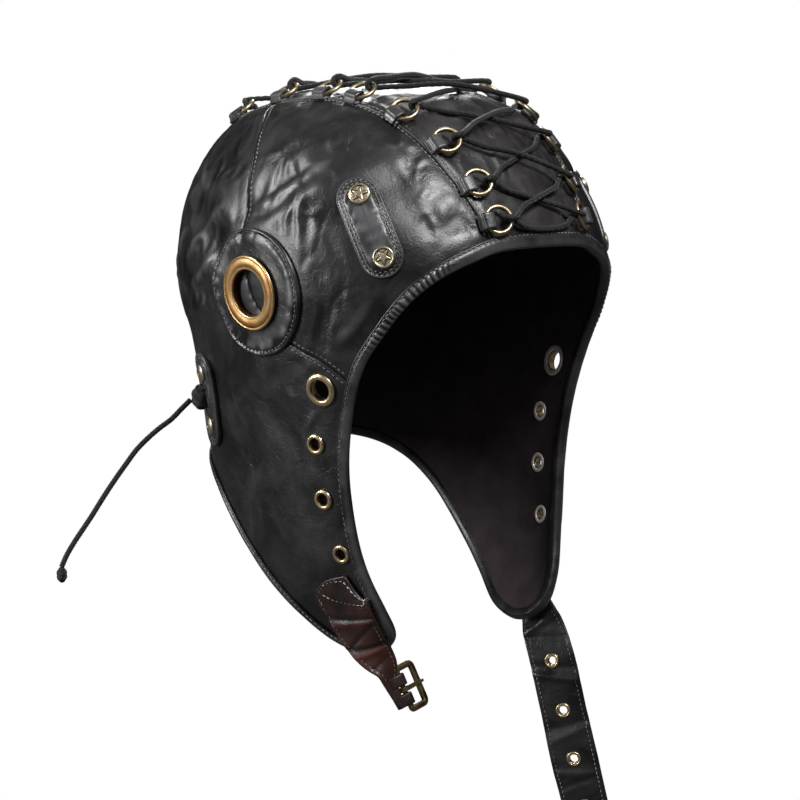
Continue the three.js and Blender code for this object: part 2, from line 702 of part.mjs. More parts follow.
const rings = { right: [], left: [] };
const seamBand = stripFan(WELT.half).subtract(stripFan(-WELT.half));
const weltBody = layer(gap, gap + WELT.height).intersect(seamBand).intersect(sidePrism([
  { y: -REACH, z: WELT.frontEnd },
  { y: -20, z: WELT.frontEnd },
  { y: 60, z: WELT.backEnd },
  { y: REACH, z: WELT.backEnd },
  { y: REACH, z: 40 },
  { y: -REACH, z: 40 },
]));
for (const side of [-1, 1]) {
  const hand = side < 0 ? "right" : "left";
  const half = sidePrism([{ y: -REACH, z: -REACH }, { y: REACH, z: -REACH }, { y: REACH, z: 40 },
    { y: -REACH, z: 40 }], side < 0 ? -REACH : 0, side < 0 ? 0 : REACH);
  let tape = weltBody.intersect(half);
  RINGS.forEach((row, i) => {
    const ring = ringFrame(side, row);
    rings[hand].push(ring);
    const toSeam = seamHalf(row.angle) - row.lateral - RING.radius + 0.6;
    tape = tape.add(tabSolid(ring, Math.max(toSeam, 2.5)));
    add(`lace_ring_${i + 1}_${hand}`, ringSolid(ring, RING.wire), agedBrass);
  });
  tape = tape.subtract(aboveLeather);
  for (const ring of rings[hand]) tape = tape.subtract(ringSolid(ring, RING.wire + gap));
  add(`lace_tabs_${hand}`, tape, blackLeather, wallTolerance);
}

// The lace: one cord hooked through every ring, crossing over the strip from side to side

const onStrip = (lateral, angle, height) => fromFan(lateral, angle, height).point;

// The cord hooks round the ring's inner wire: above it, through the hole and under it.
function hookPoints(ring, downwards, before, after) {
  const wire = ring.centre.clone().addScaledVector(ring.inwards, RING.radius);
  const turns = [90, 135, 180, 225, 270].map((degrees) => {
    const angle = THREE.MathUtils.degToRad(degrees);
    return wire.clone()
      .addScaledVector(ring.inwards, LACE.hook * Math.cos(angle))
      .addScaledVector(ring.normal, LACE.hook * Math.sin(angle));
  });
  if (!downwards) turns.reverse();
  turns[0].addScaledVector(ring.along, before);
  turns[4].addScaledVector(ring.along, after);
  return turns;
}

const CROSSING = [0.26, 0.38, 0.5, 0.62, 0.74];

function crossing(fromSideSign, fromRow, toRow, startHeight, middleHeight, endHeight) {
  const points = [];
  for (const part of CROSSING) {
    const lateral = THREE.MathUtils.lerp(fromSideSign * fromRow.lateral, -fromSideSign * toRow.lateral, part);
    const angle = THREE.MathUtils.lerp(fromRow.angle, toRow.angle, part);
    const height = part < 0.5
      ? THREE.MathUtils.mapLinear(part, CROSSING[0], 0.5, startHeight, middleHeight)
      : THREE.MathUtils.mapLinear(part, 0.5, CROSSING.at(-1), middleHeight, endHeight);
    points.push(onStrip(lateral, angle, height));
  }
  return points;
}

const lacePoints = [];
const backBar = RINGS.at(-1).angle + LACE.backBar;
const frontBar = RINGS[0].angle - LACE.frontBar;
const sign = (index) => (index % 2 === 0 ? -1 : 1);
const handOf = (s) => (s < 0 ? "right" : "left");
const laceEnd = LACE.knot / 2;

// First run, from the back to the forehead: it starts at the wearer's left.
lacePoints.push(onStrip(laceEnd, backBar, LACE.low));
lacePoints.push(onStrip(RINGS.at(-1).lateral * LACE.barHalf, backBar, LACE.low));
for (let i = RINGS.length - 1; i >= 0; i--) {
  const side = sign(i);
  const ring = rings[handOf(side)][i];
  const forwards = -side * LACE.slant;
  lacePoints.push(...hookPoints(ring, i < RINGS.length - 1, -forwards, forwards));
  if (i > 0) lacePoints.push(...crossing(side, RINGS[i], RINGS[i - 1], LACE.rise, LACE.over, LACE.high));
}
// Straight bar at the forehead, then the second run back to the nape side.
lacePoints.push(onStrip(-RINGS[0].lateral * LACE.barHalf, frontBar, LACE.bar));
lacePoints.push(onStrip(RINGS[0].lateral * LACE.barHalf, frontBar, LACE.bar));
for (let i = 0; i < RINGS.length; i++) {
  const side = -sign(i);
  const ring = rings[handOf(side)][i];
  const backwards = side * LACE.slant;
  const isLast = i === RINGS.length - 1;
  lacePoints.push(...hookPoints(ring, isLast, -backwards, backwards));
  if (!isLast) lacePoints.push(...crossing(side, RINGS[i], RINGS[i + 1], LACE.rise, LACE.low, LACE.low));
}
lacePoints.push(onStrip(-RINGS.at(-1).lateral * LACE.barHalf, backBar, LACE.low));
lacePoints.push(onStrip(-laceEnd, backBar, LACE.low));

// A curve whose sections stand at its route points, with even steps between each two.
class RouteCurve extends THREE.CatmullRomCurve3 {
  constructor(points) {
    super(points, false, "centripetal");
  }

  getPointAt(part, target) {
    return this.getPoint(part, target);
  }

  getTangentAt(part, target) {
    return this.getTangent(part, target);
  }
}

function cordGeometry(points, radius, sides) {
  const section = new THREE.Shape();
  for (let i = 0; i < sides; i++) {
    const angle = (i / sides) * 2 * Math.PI;
    const [x, y] = [radius * Math.cos(angle), radius * Math.sin(angle)];
    if (i === 0) section.moveTo(x, y);
    else section.lineTo(x, y);
  }
  const extrudePath = new RouteCurve(points);
  return new THREE.ExtrudeGeometry(section, { steps: points.length - 1, extrudePath });
}

const knotSeat = fromFan(0, backBar, LACE.knot);
const laceKnot = placed(new THREE.SphereGeometry(LACE.knot, 8, 6).scale(1, 1, 0.8),
  standing(knotSeat.point, knotSeat.normal, sideways));
const laceTube = toSolid(cordGeometry(lacePoints, LACE.radius, laceSides));
add("crown_lace", laceTube.add(laceKnot), blackCord);

// Straps, buckle and prong

// Each section's centre and the way its width runs; a row with a lift is laid on the flap.
function strapSections(rows, side) {
  return rows.map((row) => {
    const across = new THREE.Vector3(row.wx, row.wy, row.wz).normalize();
    if (row.lift === undefined) return { centre: new THREE.Vector3(row.x, row.y, row.z), across };
    const seat = fromSide(side, row.y, row.z, row.lift + strapThickness / 2);
    return { centre: seat.point, across: across.projectOnPlane(seat.normal).normalize() };
  });
}

function strapSolid(rows, sections) {
  const loops = sections.map(({ centre, across }, i) => {
    const before = sections[Math.max(i - 1, 0)].centre;
    const after = sections[Math.min(i + 1, rows.length - 1)].centre;
    const outwards = new THREE.Vector3().subVectors(after, before).cross(across).normalize();
    return [[-1, -1], [1, -1], [1, 1], [-1, 1]].map(([u, v]) => centre.clone()
      .addScaledVector(across, (u * rows[i].width) / 2)
      .addScaledVector(outwards, (v * strapThickness) / 2));
  });
  return toSolid(loft(loops));
}

const buckleOut = BUCKLE.out.clone().normalize();
const buckleAlong = BUCKLE.along.clone().projectOnPlane(buckleOut).normalize();
const buckleFace = new THREE.Vector3().crossVectors(buckleAlong, buckleOut);
const buckleFrame = new THREE.Matrix4().makeBasis(buckleOut, buckleAlong, buckleFace.clone().negate())
  .setPosition(BUCKLE.heel);

function block(x0, x1, y0, y1, z0, z1) {
  const geometry = new THREE.BoxGeometry(x1 - x0, y1 - y0, z1 - z0);
  return placed(geometry.translate((x0 + x1) / 2, (y0 + y1) / 2, (z0 + z1) / 2), buckleFrame);
}

function rod(radius, from, to) {
  const geometry = new THREE.CylinderGeometry(radius, radius, to - from, 12);
  return placed(geometry.translate(0, (from + to) / 2, 0), buckleFrame);
}

const halfLength = BUCKLE.length / 2;
const { bar, depth, heelReach, sideWidth, endWidth } = BUCKLE;
const frameSolid = rod(bar, -halfLength + gap, halfLength - gap)
  .add(block(-heelReach, depth, -halfLength, -halfLength + sideWidth, -bar, bar))
  .add(block(-heelReach, depth, halfLength - sideWidth, halfLength, -bar, bar))
  .add(block(depth - endWidth, depth, -halfLength, halfLength, -bar, bar));
add("buckle_frame", frameSolid, darkBrass);

const halfProng = PRONG.width / 2;
const prongBack = -bar - gap;
const prongSolid = rod(bar + gap + PRONG.eye, -halfProng, halfProng)
  .add(block(0, depth + PRONG.past, -halfProng, halfProng, prongBack - PRONG.thickness, prongBack))
  .subtract(rod(bar + gap, -halfLength, halfLength));
add("buckle_prong", prongSolid, darkBrass);

const strapEnd = BUCKLE_STRAP.at(-1).width / 2;
const slotReach = STRAP_LOOP.slotReach;
const buckleStrap = strapSolid(BUCKLE_STRAP, strapSections(BUCKLE_STRAP, -1))
  .add(rod(bar + gap + STRAP_LOOP.wall, -strapEnd, strapEnd))
  .add(block(-STRAP_LOOP.root, 0, -strapEnd, strapEnd, -STRAP_LOOP.half, STRAP_LOOP.half))
  .subtract(rod(bar + gap, -halfLength, halfLength))
  .subtract(block(-slotReach, slotReach, -PRONG.slot / 2, PRONG.slot / 2, -cutReach, cutReach));
add("buckle_strap", buckleStrap, brownLeather);

const chinSections = strapSections(CHIN_STRAP, 1);
let chinStrap = strapSolid(CHIN_STRAP, chinSections);
for (const z of STRAP_HOLES) {
  const next = chinSections.findIndex((section) => section.centre.z < z);
  const [above, below] = [chinSections[next - 1], chinSections[next]];
  const down = new THREE.Vector3().subVectors(below.centre, above.centre);
  const centre = above.centre.clone().addScaledVector(down, (z - above.centre.z) / down.z);
  const outwards = new THREE.Vector3().crossVectors(down, above.across).normalize();
  const frame = standing(centre, outwards, down.normalize());
  chinStrap = chinStrap.subtract(placed(cylinder(strapHoleRadius, -cutReach, cutReach, EYELET.sides), frame));
}
add("chin_strap", chinStrap, blackLeather);

// The free cord at the nape, between two knots

const cordPoints = CORD_ROUTE.map((point) => new THREE.Vector3(...point));
add("nape_cord", toSolid(cordGeometry(cordPoints, cordRadius, 8)), blackCord);
const knot = ({ radius, height }) => new THREE.SphereGeometry(radius, 10, 8).scale(1, 1, height / radius);
const endKnotCentre = cordPoints.at(-1).clone().add(new THREE.Vector3(0, 0, -cordKnot.height - gap));
add("nape_cord_knot", toSolid(knot(cordKnot).translate(...endKnotCentre.toArray())), blackCord);
const exitCentre = cordPoints[0].clone().add(exitKnot);
const exitSolid = toSolid(knot(exitKnot).translate(...exitCentre.toArray()))
  .subtract(abovePatch)
  .subtract(toSolid(cordGeometry(cordPoints, cordRadius + gap, 8)));
add("nape_knot", exitSolid, blackCord);

const hat = new THREE.Group();
hat.add(...pieces);

export default hat;
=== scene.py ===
import math

import bmesh
import bpy
import numpy as np
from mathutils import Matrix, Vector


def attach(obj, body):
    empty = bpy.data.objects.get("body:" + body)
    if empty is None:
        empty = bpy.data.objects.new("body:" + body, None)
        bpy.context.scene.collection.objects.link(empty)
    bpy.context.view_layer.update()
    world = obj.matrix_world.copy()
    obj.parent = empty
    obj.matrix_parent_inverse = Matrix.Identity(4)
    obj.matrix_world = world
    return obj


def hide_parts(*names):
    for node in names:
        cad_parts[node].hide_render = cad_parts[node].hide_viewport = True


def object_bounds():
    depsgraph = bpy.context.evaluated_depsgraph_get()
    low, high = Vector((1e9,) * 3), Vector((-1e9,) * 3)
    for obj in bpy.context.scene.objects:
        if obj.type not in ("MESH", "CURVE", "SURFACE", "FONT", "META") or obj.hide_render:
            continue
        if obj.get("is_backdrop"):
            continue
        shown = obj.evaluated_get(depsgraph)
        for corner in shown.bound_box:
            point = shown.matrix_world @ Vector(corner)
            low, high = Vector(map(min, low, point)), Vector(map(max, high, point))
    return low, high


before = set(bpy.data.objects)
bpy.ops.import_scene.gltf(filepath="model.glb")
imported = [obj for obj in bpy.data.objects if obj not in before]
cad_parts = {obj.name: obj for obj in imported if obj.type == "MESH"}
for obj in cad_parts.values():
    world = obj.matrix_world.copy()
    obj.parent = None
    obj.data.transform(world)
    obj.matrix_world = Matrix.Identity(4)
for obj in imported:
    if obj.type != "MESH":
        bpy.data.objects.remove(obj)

# Studio: a seamless white sweep far below the hanging hat, with one soft lamp above the
# forehead, two strips behind the crown and a weak lamp at the right. The camera stands in
# front of the right temple, a little above the ear.
cad_low, cad_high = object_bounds()
scene = bpy.context.scene
scene.view_settings.view_transform = "Standard"
scene.view_settings.look = "None"
MM = 0.001
LOOK_AT = np.array([0.0, 0.0, -140.0])
AZIMUTH, ELEVATION = math.radians(-45), math.radians(7.5)
CAMERA_DISTANCE, LENS, SENSOR, CLIP_END = 1000.0, 99.0, 36.0, 20.0
# Each lamp: name, the way to it, its distance, width, height and power.
LAMPS = [
    ("key_above", (-0.10, -0.66, 0.74), 1100, 420, 240, 10.5),
    ("strip_behind_right", (-0.82, 0.48, 0.29), 1200, 175, 900, 13.0),
    ("strip_behind_left", (0.62, 0.60, 0.50), 1200, 260, 700, 8.0),
    ("fill_right", (-0.92, -0.36, 0.10), 1500, 700, 700, 0.7),
]
FLOOR_HEIGHT, SWEEP_HALF, SWEEP_BACK, SWEEP_RISE, SWEEP_ROUND = -375.0, 4000.0, 3200.0, 2600.0, 1400.0


def fill(tree, sockets, values):
    """Sets each input to its value, or links it where the value is a socket."""
    for key, value in values.items():
        if isinstance(value, bpy.types.NodeSocket):
            tree.links.new(value, sockets[key])
        else:
            sockets[key].default_value = value


def node(tree, kind, values=None, out=0, **settings):
    """One output of a new node; a kind without Node in it is a shader node's."""
    made = tree.nodes.new(kind if "Node" in kind else f"ShaderNode{kind}")
    for key, value in settings.items():
        setattr(made, key, value)
    fill(tree, made.inputs, values or {})
    return made.outputs[out] if len(made.outputs) else None


def colour(*screen):
    """A colour given as it looks on the screen, from 0 to 255."""
    return *[((c / 255 + 0.055) / 1.055) ** 2.4 if c > 10 else c / 255 / 12.92 for c in screen], 1.0


def aim(thing, way, distance, target):
    """Stands a lamp or camera at a distance from its target, looking at it."""
    way = Vector(way).normalized()
    thing.location = (Vector(target) + way * distance) * MM
    thing.rotation_mode = "QUATERNION"
    thing.rotation_quaternion = way.to_track_quat("Z", "Y")
    scene.collection.objects.link(thing)


ahead = np.array([math.sin(AZIMUTH), -math.cos(AZIMUTH), 0.0])
aside = np.array([math.cos(AZIMUTH), math.sin(AZIMUTH), 0.0])
camera = bpy.data.cameras.new("camera")
camera.lens, camera.sensor_width, camera.clip_end = LENS, SENSOR, CLIP_END
scene.camera = bpy.data.objects.new("camera", camera)
aim(scene.camera, ahead * math.cos(ELEVATION) + (0, 0, math.sin(ELEVATION)), CAMERA_DISTANCE, LOOK_AT)
for name, way, distance, width, height, power in LAMPS:
    lamp = bpy.data.lights.new(name, "AREA")
    lamp.shape, lamp.size, lamp.size_y, lamp.energy = "RECTANGLE", width * MM, height * MM, power
    aim(bpy.data.objects.new(name, lamp), way, distance, LOOK_AT * 0.5)

turn = np.linspace(0, math.pi / 2, 17)
backs = [-SWEEP_HALF, *(SWEEP_BACK - SWEEP_ROUND * (1 - np.sin(turn))), SWEEP_BACK]
rises = [0, *(SWEEP_ROUND * (1 - np.cos(turn))), SWEEP_RISE]
points = [(aside * across - ahead * back + (0, 0, FLOOR_HEIGHT + rise)) * MM
          for back, rise in zip(backs, rises) for across in (-SWEEP_HALF, SWEEP_HALF)]
mesh = bpy.data.meshes.new("sweep")
mesh.from_pydata(points, [], [(2 * i, 2 * i + 1, 2 * i + 3, 2 * i + 2) for i in range(len(rises) - 1)])
mesh.shade_smooth()
sweep = bpy.data.objects.new("sweep", mesh)
scene.collection.objects.link(sweep)
sweep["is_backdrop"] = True
paper, scene.world = bpy.data.materials.new("white_paper"), bpy.data.worlds.new("studio")
mesh.materials.append(paper)
for made in (paper, scene.world):
    made.use_nodes = True
    made.node_tree.nodes.clear()
tree = paper.node_tree
dull = node(tree, "BsdfDiffuse", {"Color": colour(84, 84, 84)})
bright = node(tree, "Emission", {"Color": (1, 1, 1, 1), "Strength": 1.0})
seen = node(tree, "LightPath", out="Is Camera Ray")
node(tree, "OutputMaterial", {"Surface": node(tree, "MixShader", {0: seen, 1: dull, 2: bright})})
tree = scene.world.node_tree
height = node(tree, "SeparateXYZ", {0: node(tree, "TexCoord", out="Generated")}, "Z")
walls = node(tree, "MapRange", {"Value": height, "From Min": -0.1, "To Min": 0.02, "To Max": 0.26})
strength = node(tree, "Mix", {0: node(tree, "LightPath", out="Is Camera Ray"), 2: walls, 3: 1.0})
light = node(tree, "Background", {"Color": (1, 1, 1, 1), "Strength": strength})
node(tree, "OutputWorld", {"Surface": light})

# Free cord at the nape: a round braided cotton cord, 2.5 mm thick and about 97 mm long,
# that leaves a knot on the right nape patch. It hangs outwards and down under its own
# weight, and ends in a small knot.
CORD_ROUTE = np.array([
    (-73.4, 59.8, -138.6), (-76.6, 62.4, -142.6), (-80.2, 65.2, -147.2), (-84.7, 68.8, -151.5),
    (-88.9, 72.1, -156.1), (-92.7, 75.3, -161.2), (-96.1, 77.9, -166.9), (-99.3, 80.6, -172.7),
    (-102.5, 83.1, -178.6), (-105.5, 85.6, -184.6), (-108.3, 88.2, -190.7), (-111.3, 90.9, -196.7),
    (-114.3, 93.6, -202.7), (-117.0, 96.0, -208.8), (-118.8, 97.5, -214.0),
])
CORD_RADIUS, KNOT_ROWS, KNOT_SIDES = 1.25, 27, 34
# Each knot: its middle, radius, half height and relief.
END_KNOT = (CORD_ROUTE[-1] - (0, 0, 3.7), 2.3, 3.4, 0.5)
EXIT_KNOT = (CORD_ROUTE[0] + (3.6, -2.9, 1.2), 4.2, 5.4, 0.45)


def unit(vectors):
    vectors = np.asarray(vectors, float)
    return vectors / np.maximum(np.linalg.norm(vectors, axis=-1, keepdims=True), 1e-12)


def curve_through(rows, per_span=10, power=0.5, before=None):
    """A smooth curve through the rows; before stands ahead of the first one."""
    rows = np.asarray(rows, float)
    ends = np.vstack([2 * rows[0] - rows[1] if before is None else before, rows, 2 * rows[-1] - rows[-2]])
    s = np.arange(per_span)[:, None] / per_span
    line = []
    for a, b, c, d in zip(ends, ends[1:], ends[2:], ends[3:]):
        ab, bc, cd = [max(np.linalg.norm(q - p), 1e-6) ** power for p, q in ((a, b), (b, c), (c, d))]
        leave = bc * ((b - a) / ab - (c - a) / (ab + bc) + (c - b) / bc)
        arrive = bc * ((c - b) / bc - (d - b) / (bc + cd) + (d - c) / cd)
        line.append(b + s**2 * (3 - 2 * s) * (c - b) + s * (1 - s) ** 2 * leave + s**2 * (s - 1) * arrive)
    return np.vstack([*line, rows[-1:]])


def ways_along(line):
    return unit(np.gradient(line, axis=0))


def full_turn(count):
    return np.arange(count) / count * 2 * np.pi


def distances(line):
    """The way covered along a line at each of its points."""
    return np.concatenate([[0], np.cumsum(np.linalg.norm(np.diff(line, axis=0), axis=1))])


def at_places(wanted, known, rows):
    """Each column of the rows, read at the wanted places."""
    return np.stack([np.interp(wanted, known, column) for column in np.asarray(rows, float).T], -1)


def even_steps(line, step):
    """The same line with points about one step apart, and the distance along it."""
    along = distances(line)
    wanted = np.linspace(0, along[-1], max(int(round(along[-1] / step)), 2) + 1)
    return at_places(wanted, along, line), wanted


def grid_faces(rows, columns, wrap=False):
    """Four-cornered faces over a grid of points; wrap joins its last column to its first."""
    row, column = np.meshgrid(np.arange(rows - 1), np.arange(columns - (not wrap)), indexing="ij")
    a, b = row * columns + column, row * columns + (column + 1) % columns
    return np.stack([a, b, b + columns, a + columns], -1).reshape(-1, 4)


def lofted(loops, ring=False):
    """A closed shell through loops of points, with flat ends or joined end to end."""
    rows, count = loops.shape[:2]
    first, last = np.arange(count), np.arange(count) + (rows - 1) * count
    ends = np.stack([last, np.roll(last, -1), np.roll(first, -1), first], 1) if ring else [first[::-1], last]
    return loops.reshape(-1, 3), [*grid_faces(rows, count, wrap=True), *ends]


def braided_cord(line, radius, sides, step, strands, pitch, relief):
    """Points, faces and UV of a braided cord along a line, with closed ends."""
    centres, along = even_steps(line, step)
    tangents = ways_along(centres)
    across = [unit(np.cross(tangents[0], [0, 0, 1] if abs(tangents[0][2]) < 0.9 else [1, 0, 0]))]
    for tangent in tangents[1:]:
        across.append(unit(across[-1] - tangent * (across[-1] @ tangent)))
    upright = np.cross(tangents, across)
    angle, turn = full_turn(sides), along[:, None] / pitch * 2 * np.pi
    braid = np.maximum(np.cos(strands * angle + turn), np.cos(strands * angle - turn))
    high = radius * (1 - relief + relief * braid)[..., None]
    ring = np.array(across)[:, None] * np.cos(angle)[:, None] + upright[:, None] * np.sin(angle)[:, None]
    points, faces = lofted(centres[:, None] + ring * high)
    uv = np.stack([np.tile(angle / (2 * np.pi), len(along)), np.repeat(along / 10, sides)], 1)
    return points, faces, uv


def knot_of(centre, radius, height, cord):
    """A knot: cord wound over a ball, as a closed shell with a strand relief."""
    polar, angle = np.meshgrid(np.linspace(0.01, math.pi - 0.01, KNOT_ROWS), full_turn(KNOT_SIDES), indexing="ij")
    high = 1 + cord * 0.5 * (np.abs(np.cos(4 * (polar + 0.6 * np.sin(angle)))) - 0.6)
    wide = np.sin(polar) * radius * high
    points, faces = lofted(np.stack([wide * np.cos(angle), wide * np.sin(angle), np.cos(polar) * height * high], -1)
                           + centre)
    return points, faces, points[:, ::2] / 8


def make_piece(name, points, faces, finish, uv=None, **marks):
    """A smooth closed mesh at the origin, from millimetres, with its faces outwards."""
    mesh = bpy.data.meshes.new(name)
    mesh.from_pydata((np.asarray(points) * MM).tolist(), [], [tuple(face) for face in faces])
    shell = bmesh.new()
    shell.from_mesh(mesh)
    if shell.calc_volume(signed=True) < 0:
        mesh.flip_normals()
    shell.free()
    if uv is not None:
        corners = np.empty(len(mesh.loops), np.int32)
        mesh.loops.foreach_get("vertex_index", corners)
        mesh.uv_layers.new(name="UVMap").data.foreach_set("uv", uv[corners].ravel())
    for mark, values in marks.items():
        mesh.attributes.new(mark, "FLOAT", "POINT").data.foreach_set("value", values.astype(np.float32).ravel())
    mesh.validate()
    mesh.shade_smooth()
    mesh.materials.append(finish)
    piece = bpy.data.objects.new(name, mesh)
    scene.collection.objects.link(piece)
    return piece


def fixed(piece, slot, *nodes, body="hat"):
    """Puts the piece on the body it rides on and hides the model's parts that it stands for; the slot is not used."""
    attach(piece, body)
    if nodes:
        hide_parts(*nodes)
    return piece


def new_finish(name):
    """A new material, its tree, its shader's inputs and the place on the piece."""
    made = bpy.data.materials.new(name)
    made.use_nodes = True
    tree = made.node_tree
    return made, tree, tree.nodes["Principled BSDF"].inputs, node(tree, "TexCoord", out="Object")


def noise(tree, place, scale, detail=2.0, roughness=0.5, distortion=0.0):
    return node(tree, "TexNoise", {"Vector": place, "Scale": scale, "Detail": detail, "Roughness": roughness,
                                   "Distortion": distortion}, "Fac")


def spread(tree, value, low, high, to_low=0.0, to_high=1.0):
    return node(tree, "MapRange", {0: value, 1: low, 2: high, 3: to_low, 4: to_high})


def blend(tree, part, one, other):
    return node(tree, "Mix", {0: part, 6: one, 7: other}, 2, data_type="RGBA")


def calc(tree, operation, *values, clamp=False):
    return node(tree, "Math", dict(enumerate(values)), operation=operation, use_clamp=clamp)


def bumps(tree, height, strength, depth):
    return node(tree, "Bump", {"Height": height, "Strength": strength, "Distance": depth * MM})


cotton, tree, shader, place = new_finish("black_cotton_cord")
tone = spread(tree, noise(tree, place, 70.0), 0.3, 0.7)
laid = node(tree, "Mapping", {"Vector": node(tree, "TexCoord", out="UV"), "Scale": (8.0, 26.0, 1.0),
                              "Rotation": (0, 0, 0.6)})
fibres = node(tree, "TexWave", {"Vector": laid, "Scale": 1.6, "Distortion": 1.5, "Detail": 1.0}, "Fac")
relief = calc(tree, "ADD", fibres, noise(tree, place, 900.0, 4.0, 0.7))
fill(tree, shader, {"Base Color": blend(tree, tone, colour(10, 9, 9), colour(24, 22, 22)),
                    "Normal": bumps(tree, relief, 0.5, 0.25), "Roughness": 0.62, "Sheen Weight": 0.15,
                    "Sheen Roughness": 0.5})
cord_line = curve_through(CORD_ROUTE)
points, faces, uv = braided_cord(cord_line, CORD_RADIUS, 16, 0.35, 3, 3.2, 0.10)
nape_cord = fixed(make_piece("braided_nape_cord", points, faces, cotton, uv), "black_cord", "nape_cord")
end_knot, _ = [fixed(make_piece(name, *knot_of(*knot)[:2], cotton, knot_of(*knot)[2]), "black_cord", stands_for)
               for name, knot, stands_for in (("nape_cord_end_knot", END_KNOT, "nape_cord_knot"),
                                              ("nape_exit_knot", EXIT_KNOT, "nape_knot"))]
distances(cord_line)[-1] * MM

# Leather panels: soft, glossy black sheepskin, 1.3 mm thick, with folds worn into it. A strip
# runs over the crown between two long seams, and on each side a temple panel and a flap
# panel are sewn along a seam from the crown past the ear to the cheek.

# The leather's outer face, one row a height: height, side, front, back and squareness.
FORM = np.array([
    (2.4, 0, 0, 0, 2.0), (0.4, 27, 21, 36, 2.0), (-5.5, 49, 40, 64, 2.05), (-17.5, 67, 57, 86, 2.1),
    (-36, 80, 73, 98.5, 2.15), (-57, 86, 85, 105, 2.25), (-82, 86.5, 90, 105.5, 2.35),
    (-110, 82, 88, 99, 2.35), (-140, 76.5, 84, 95, 2.3), (-170, 73, 82, 92, 2.3),
    (-200, 68.5, 82, 90, 2.3), (-228, 60, 79, 84, 2.3), (-262, 38, 68, 72, 2.3),
])
FAN_Y, FAN_Z = 10.0, -75.0
# Broad folds on both sides, as lines seen from the side: start, end, width and height.
FOLDS = [
    (8, -50, -30, -28, 7, -1.6), (-2, -60, -40, -36, 7, 1.2), (50, -52, 20, -72, 8, -1.5),
    (52, -78, 28, -100, 8, -1.3), (40, -128, 18, -160, 9, -1.2), (-56, -40, -72, -56, 7, -1.2),
]
# Sharper creases seen from the side: width, height and the line.
CREASES = [
    (2.2, 0.85, (9, -53), (-5.2, -46.9), (-15.5, -40.4), (-25.4, -32.5), (-34, -25)),
    (2.6, -0.7, (6, -58), (-8, -51), (-18, -45)), (1.9, 0.5, (-20.5, -42), (-23.9, -54.6), (-25.7, -66)),
    (2.6, -0.3, (-24.5, -43), (-28, -56), (-29, -68)), (2.6, 0.9, (62, -92), (45, -82), (28, -72), (12.5, -63.5)),
    (2.6, 0.8, (66, -80), (48, -68), (32, -55), (20, -46)), (2.4, 0.7, (58, -103), (44, -95), (32, -90)),
    (3.0, -0.9, (72, -100), (58, -84), (44, -76)), (3.2, 0.9, (80, -88), (66, -70), (52, -56)),
    (3.0, 0.8, (86, -110), (74, -92), (66, -78)), (2.0, 0.7, (-11.4, -7.2), (-21.6, -9.3), (-30.1, -11.4)),
    (2.0, 0.5, (36, -16), (28, -24), (24, -33)), (2.6, 0.6, (60, -26), (50, -38), (40, -44)),
    (2.6, 0.55, (-40, -20), (-52, -30), (-60, -42)), (2.4, -0.5, (-34, -30), (-44, -42), (-47, -50)),
    (2.2, 0.5, (-62, -40), (-70, -50), (-74, -58)), (2.6, 0.45, (-8, -120), (-14, -136), (-13, -150)),
    (3.0, 0.5, (34, -120), (26, -140), (14, -156)), (2.4, 0.45, (-62, -84), (-50, -98), (-38, -106)),
    (1.8, 0.5, (-27, -134), (-21, -141), (-17, -150)), (1.8, 0.5, (-31, -183), (-34, -188), (-35, -196)),
    (3.0, 0.4, (12, -180), (2, -196), (-8, -206)),
]
EAR_Y, EAR_Z, EAR_RADIUS = 2.0, -86.0, 28.0
# Where sewn pieces hold the hide flat: a line seen from the side, its lean and its reach.
HELD_FLAT = [(EAR_Y, EAR_Z, EAR_Y, EAR_Z - 0.1, 0, EAR_RADIUS + 1.5), (-44, -44.8, -58, -69.2, 2.5, 11.5),
             (52.9, -125, 52.9, -151, 0, 11)]
# The flap's eyelets seen from the side: name, y, z, and radius of the flange and the bore.
EYELETS = [
    ("upper", -29, -126, 7.3, 4.3), ("second", -23, -150, 4.6, 2.4),
    ("third", -24.5, -174, 4.6, 2.4), ("lower", -30.5, -197.5, 4.3, 2.2),
]
EYELET_WALL, SEAM_GAP, LEATHER, STITCH_PITCH, PANEL_CELL, NOISE_CELLS = 0.7, 0.3, 1.3, 2.4, 1.05, 24
# The hat's lower edge seen from the side: y, z, lean and width of the folded binding. The
# right flap lies further back than the left one by twice the lean.
FACE_EDGE = [
    (-104, -65.3, 0, 5.6), (-88, -65.5, 0, 5.6), (-81.5, -71.5, 0, 5.2), (-71, -83.5, 0, 4.6),
    (-60, -99.5, 0.5, 4.2), (-48.5, -118.6, 1.5, 3.8), (-41, -143.7, 2.5, 3.5), (-38.4, -169, 2.5, 3.5),
    (-41, -200, 2.5, 3.7), (-46, -222, 2, 4), (-46, -234, 1.5, 4), (-39, -241.5, 1, 4),
]
REAR_EDGE = [
    (-39, -241.5, 1, 3.6), (-27, -244, 0.5, 3.6), (-12, -240, 0, 3.6), (3, -228.5, 0, 3.6),
    (17, -215.5, 0, 3.6), (29, -203, 0, 3.6), (43, -188.5, 0, 3.6), (57, -177, 0, 3.6),
    (73, -169, 0, 3.6), (92, -165, 0, 3.6), (122, -163.5, 0, 3.6),
]
SIDE_SEAM = [
    (48, 8), (34, -7), (24, -14), (17.5, -22), (11.5, -33.5), (8.5, -51), (7, -68), (2, -90),
    (-16.5, -107), (-32, -114), (-45, -124), (-62, -138),
]
# The crown strip: angle over the crown from the forehead, and half its width.
STRIP = [(-8, 28.5), (10, 31), (25, 36.5), (45, 42), (65, 46), (90, 46.5), (112, 43.5), (140, 38),
         (170, 33), (200, 30), (236, 28)]
form_line = curve_through(FORM, 120, 0, FORM[1] * (1, -1, -1, -1, 1))
falling = np.minimum.accumulate(form_line[:, 0] - np.arange(len(form_line)) * 1e-9)
hands = {-1: "right", 1: "left"}
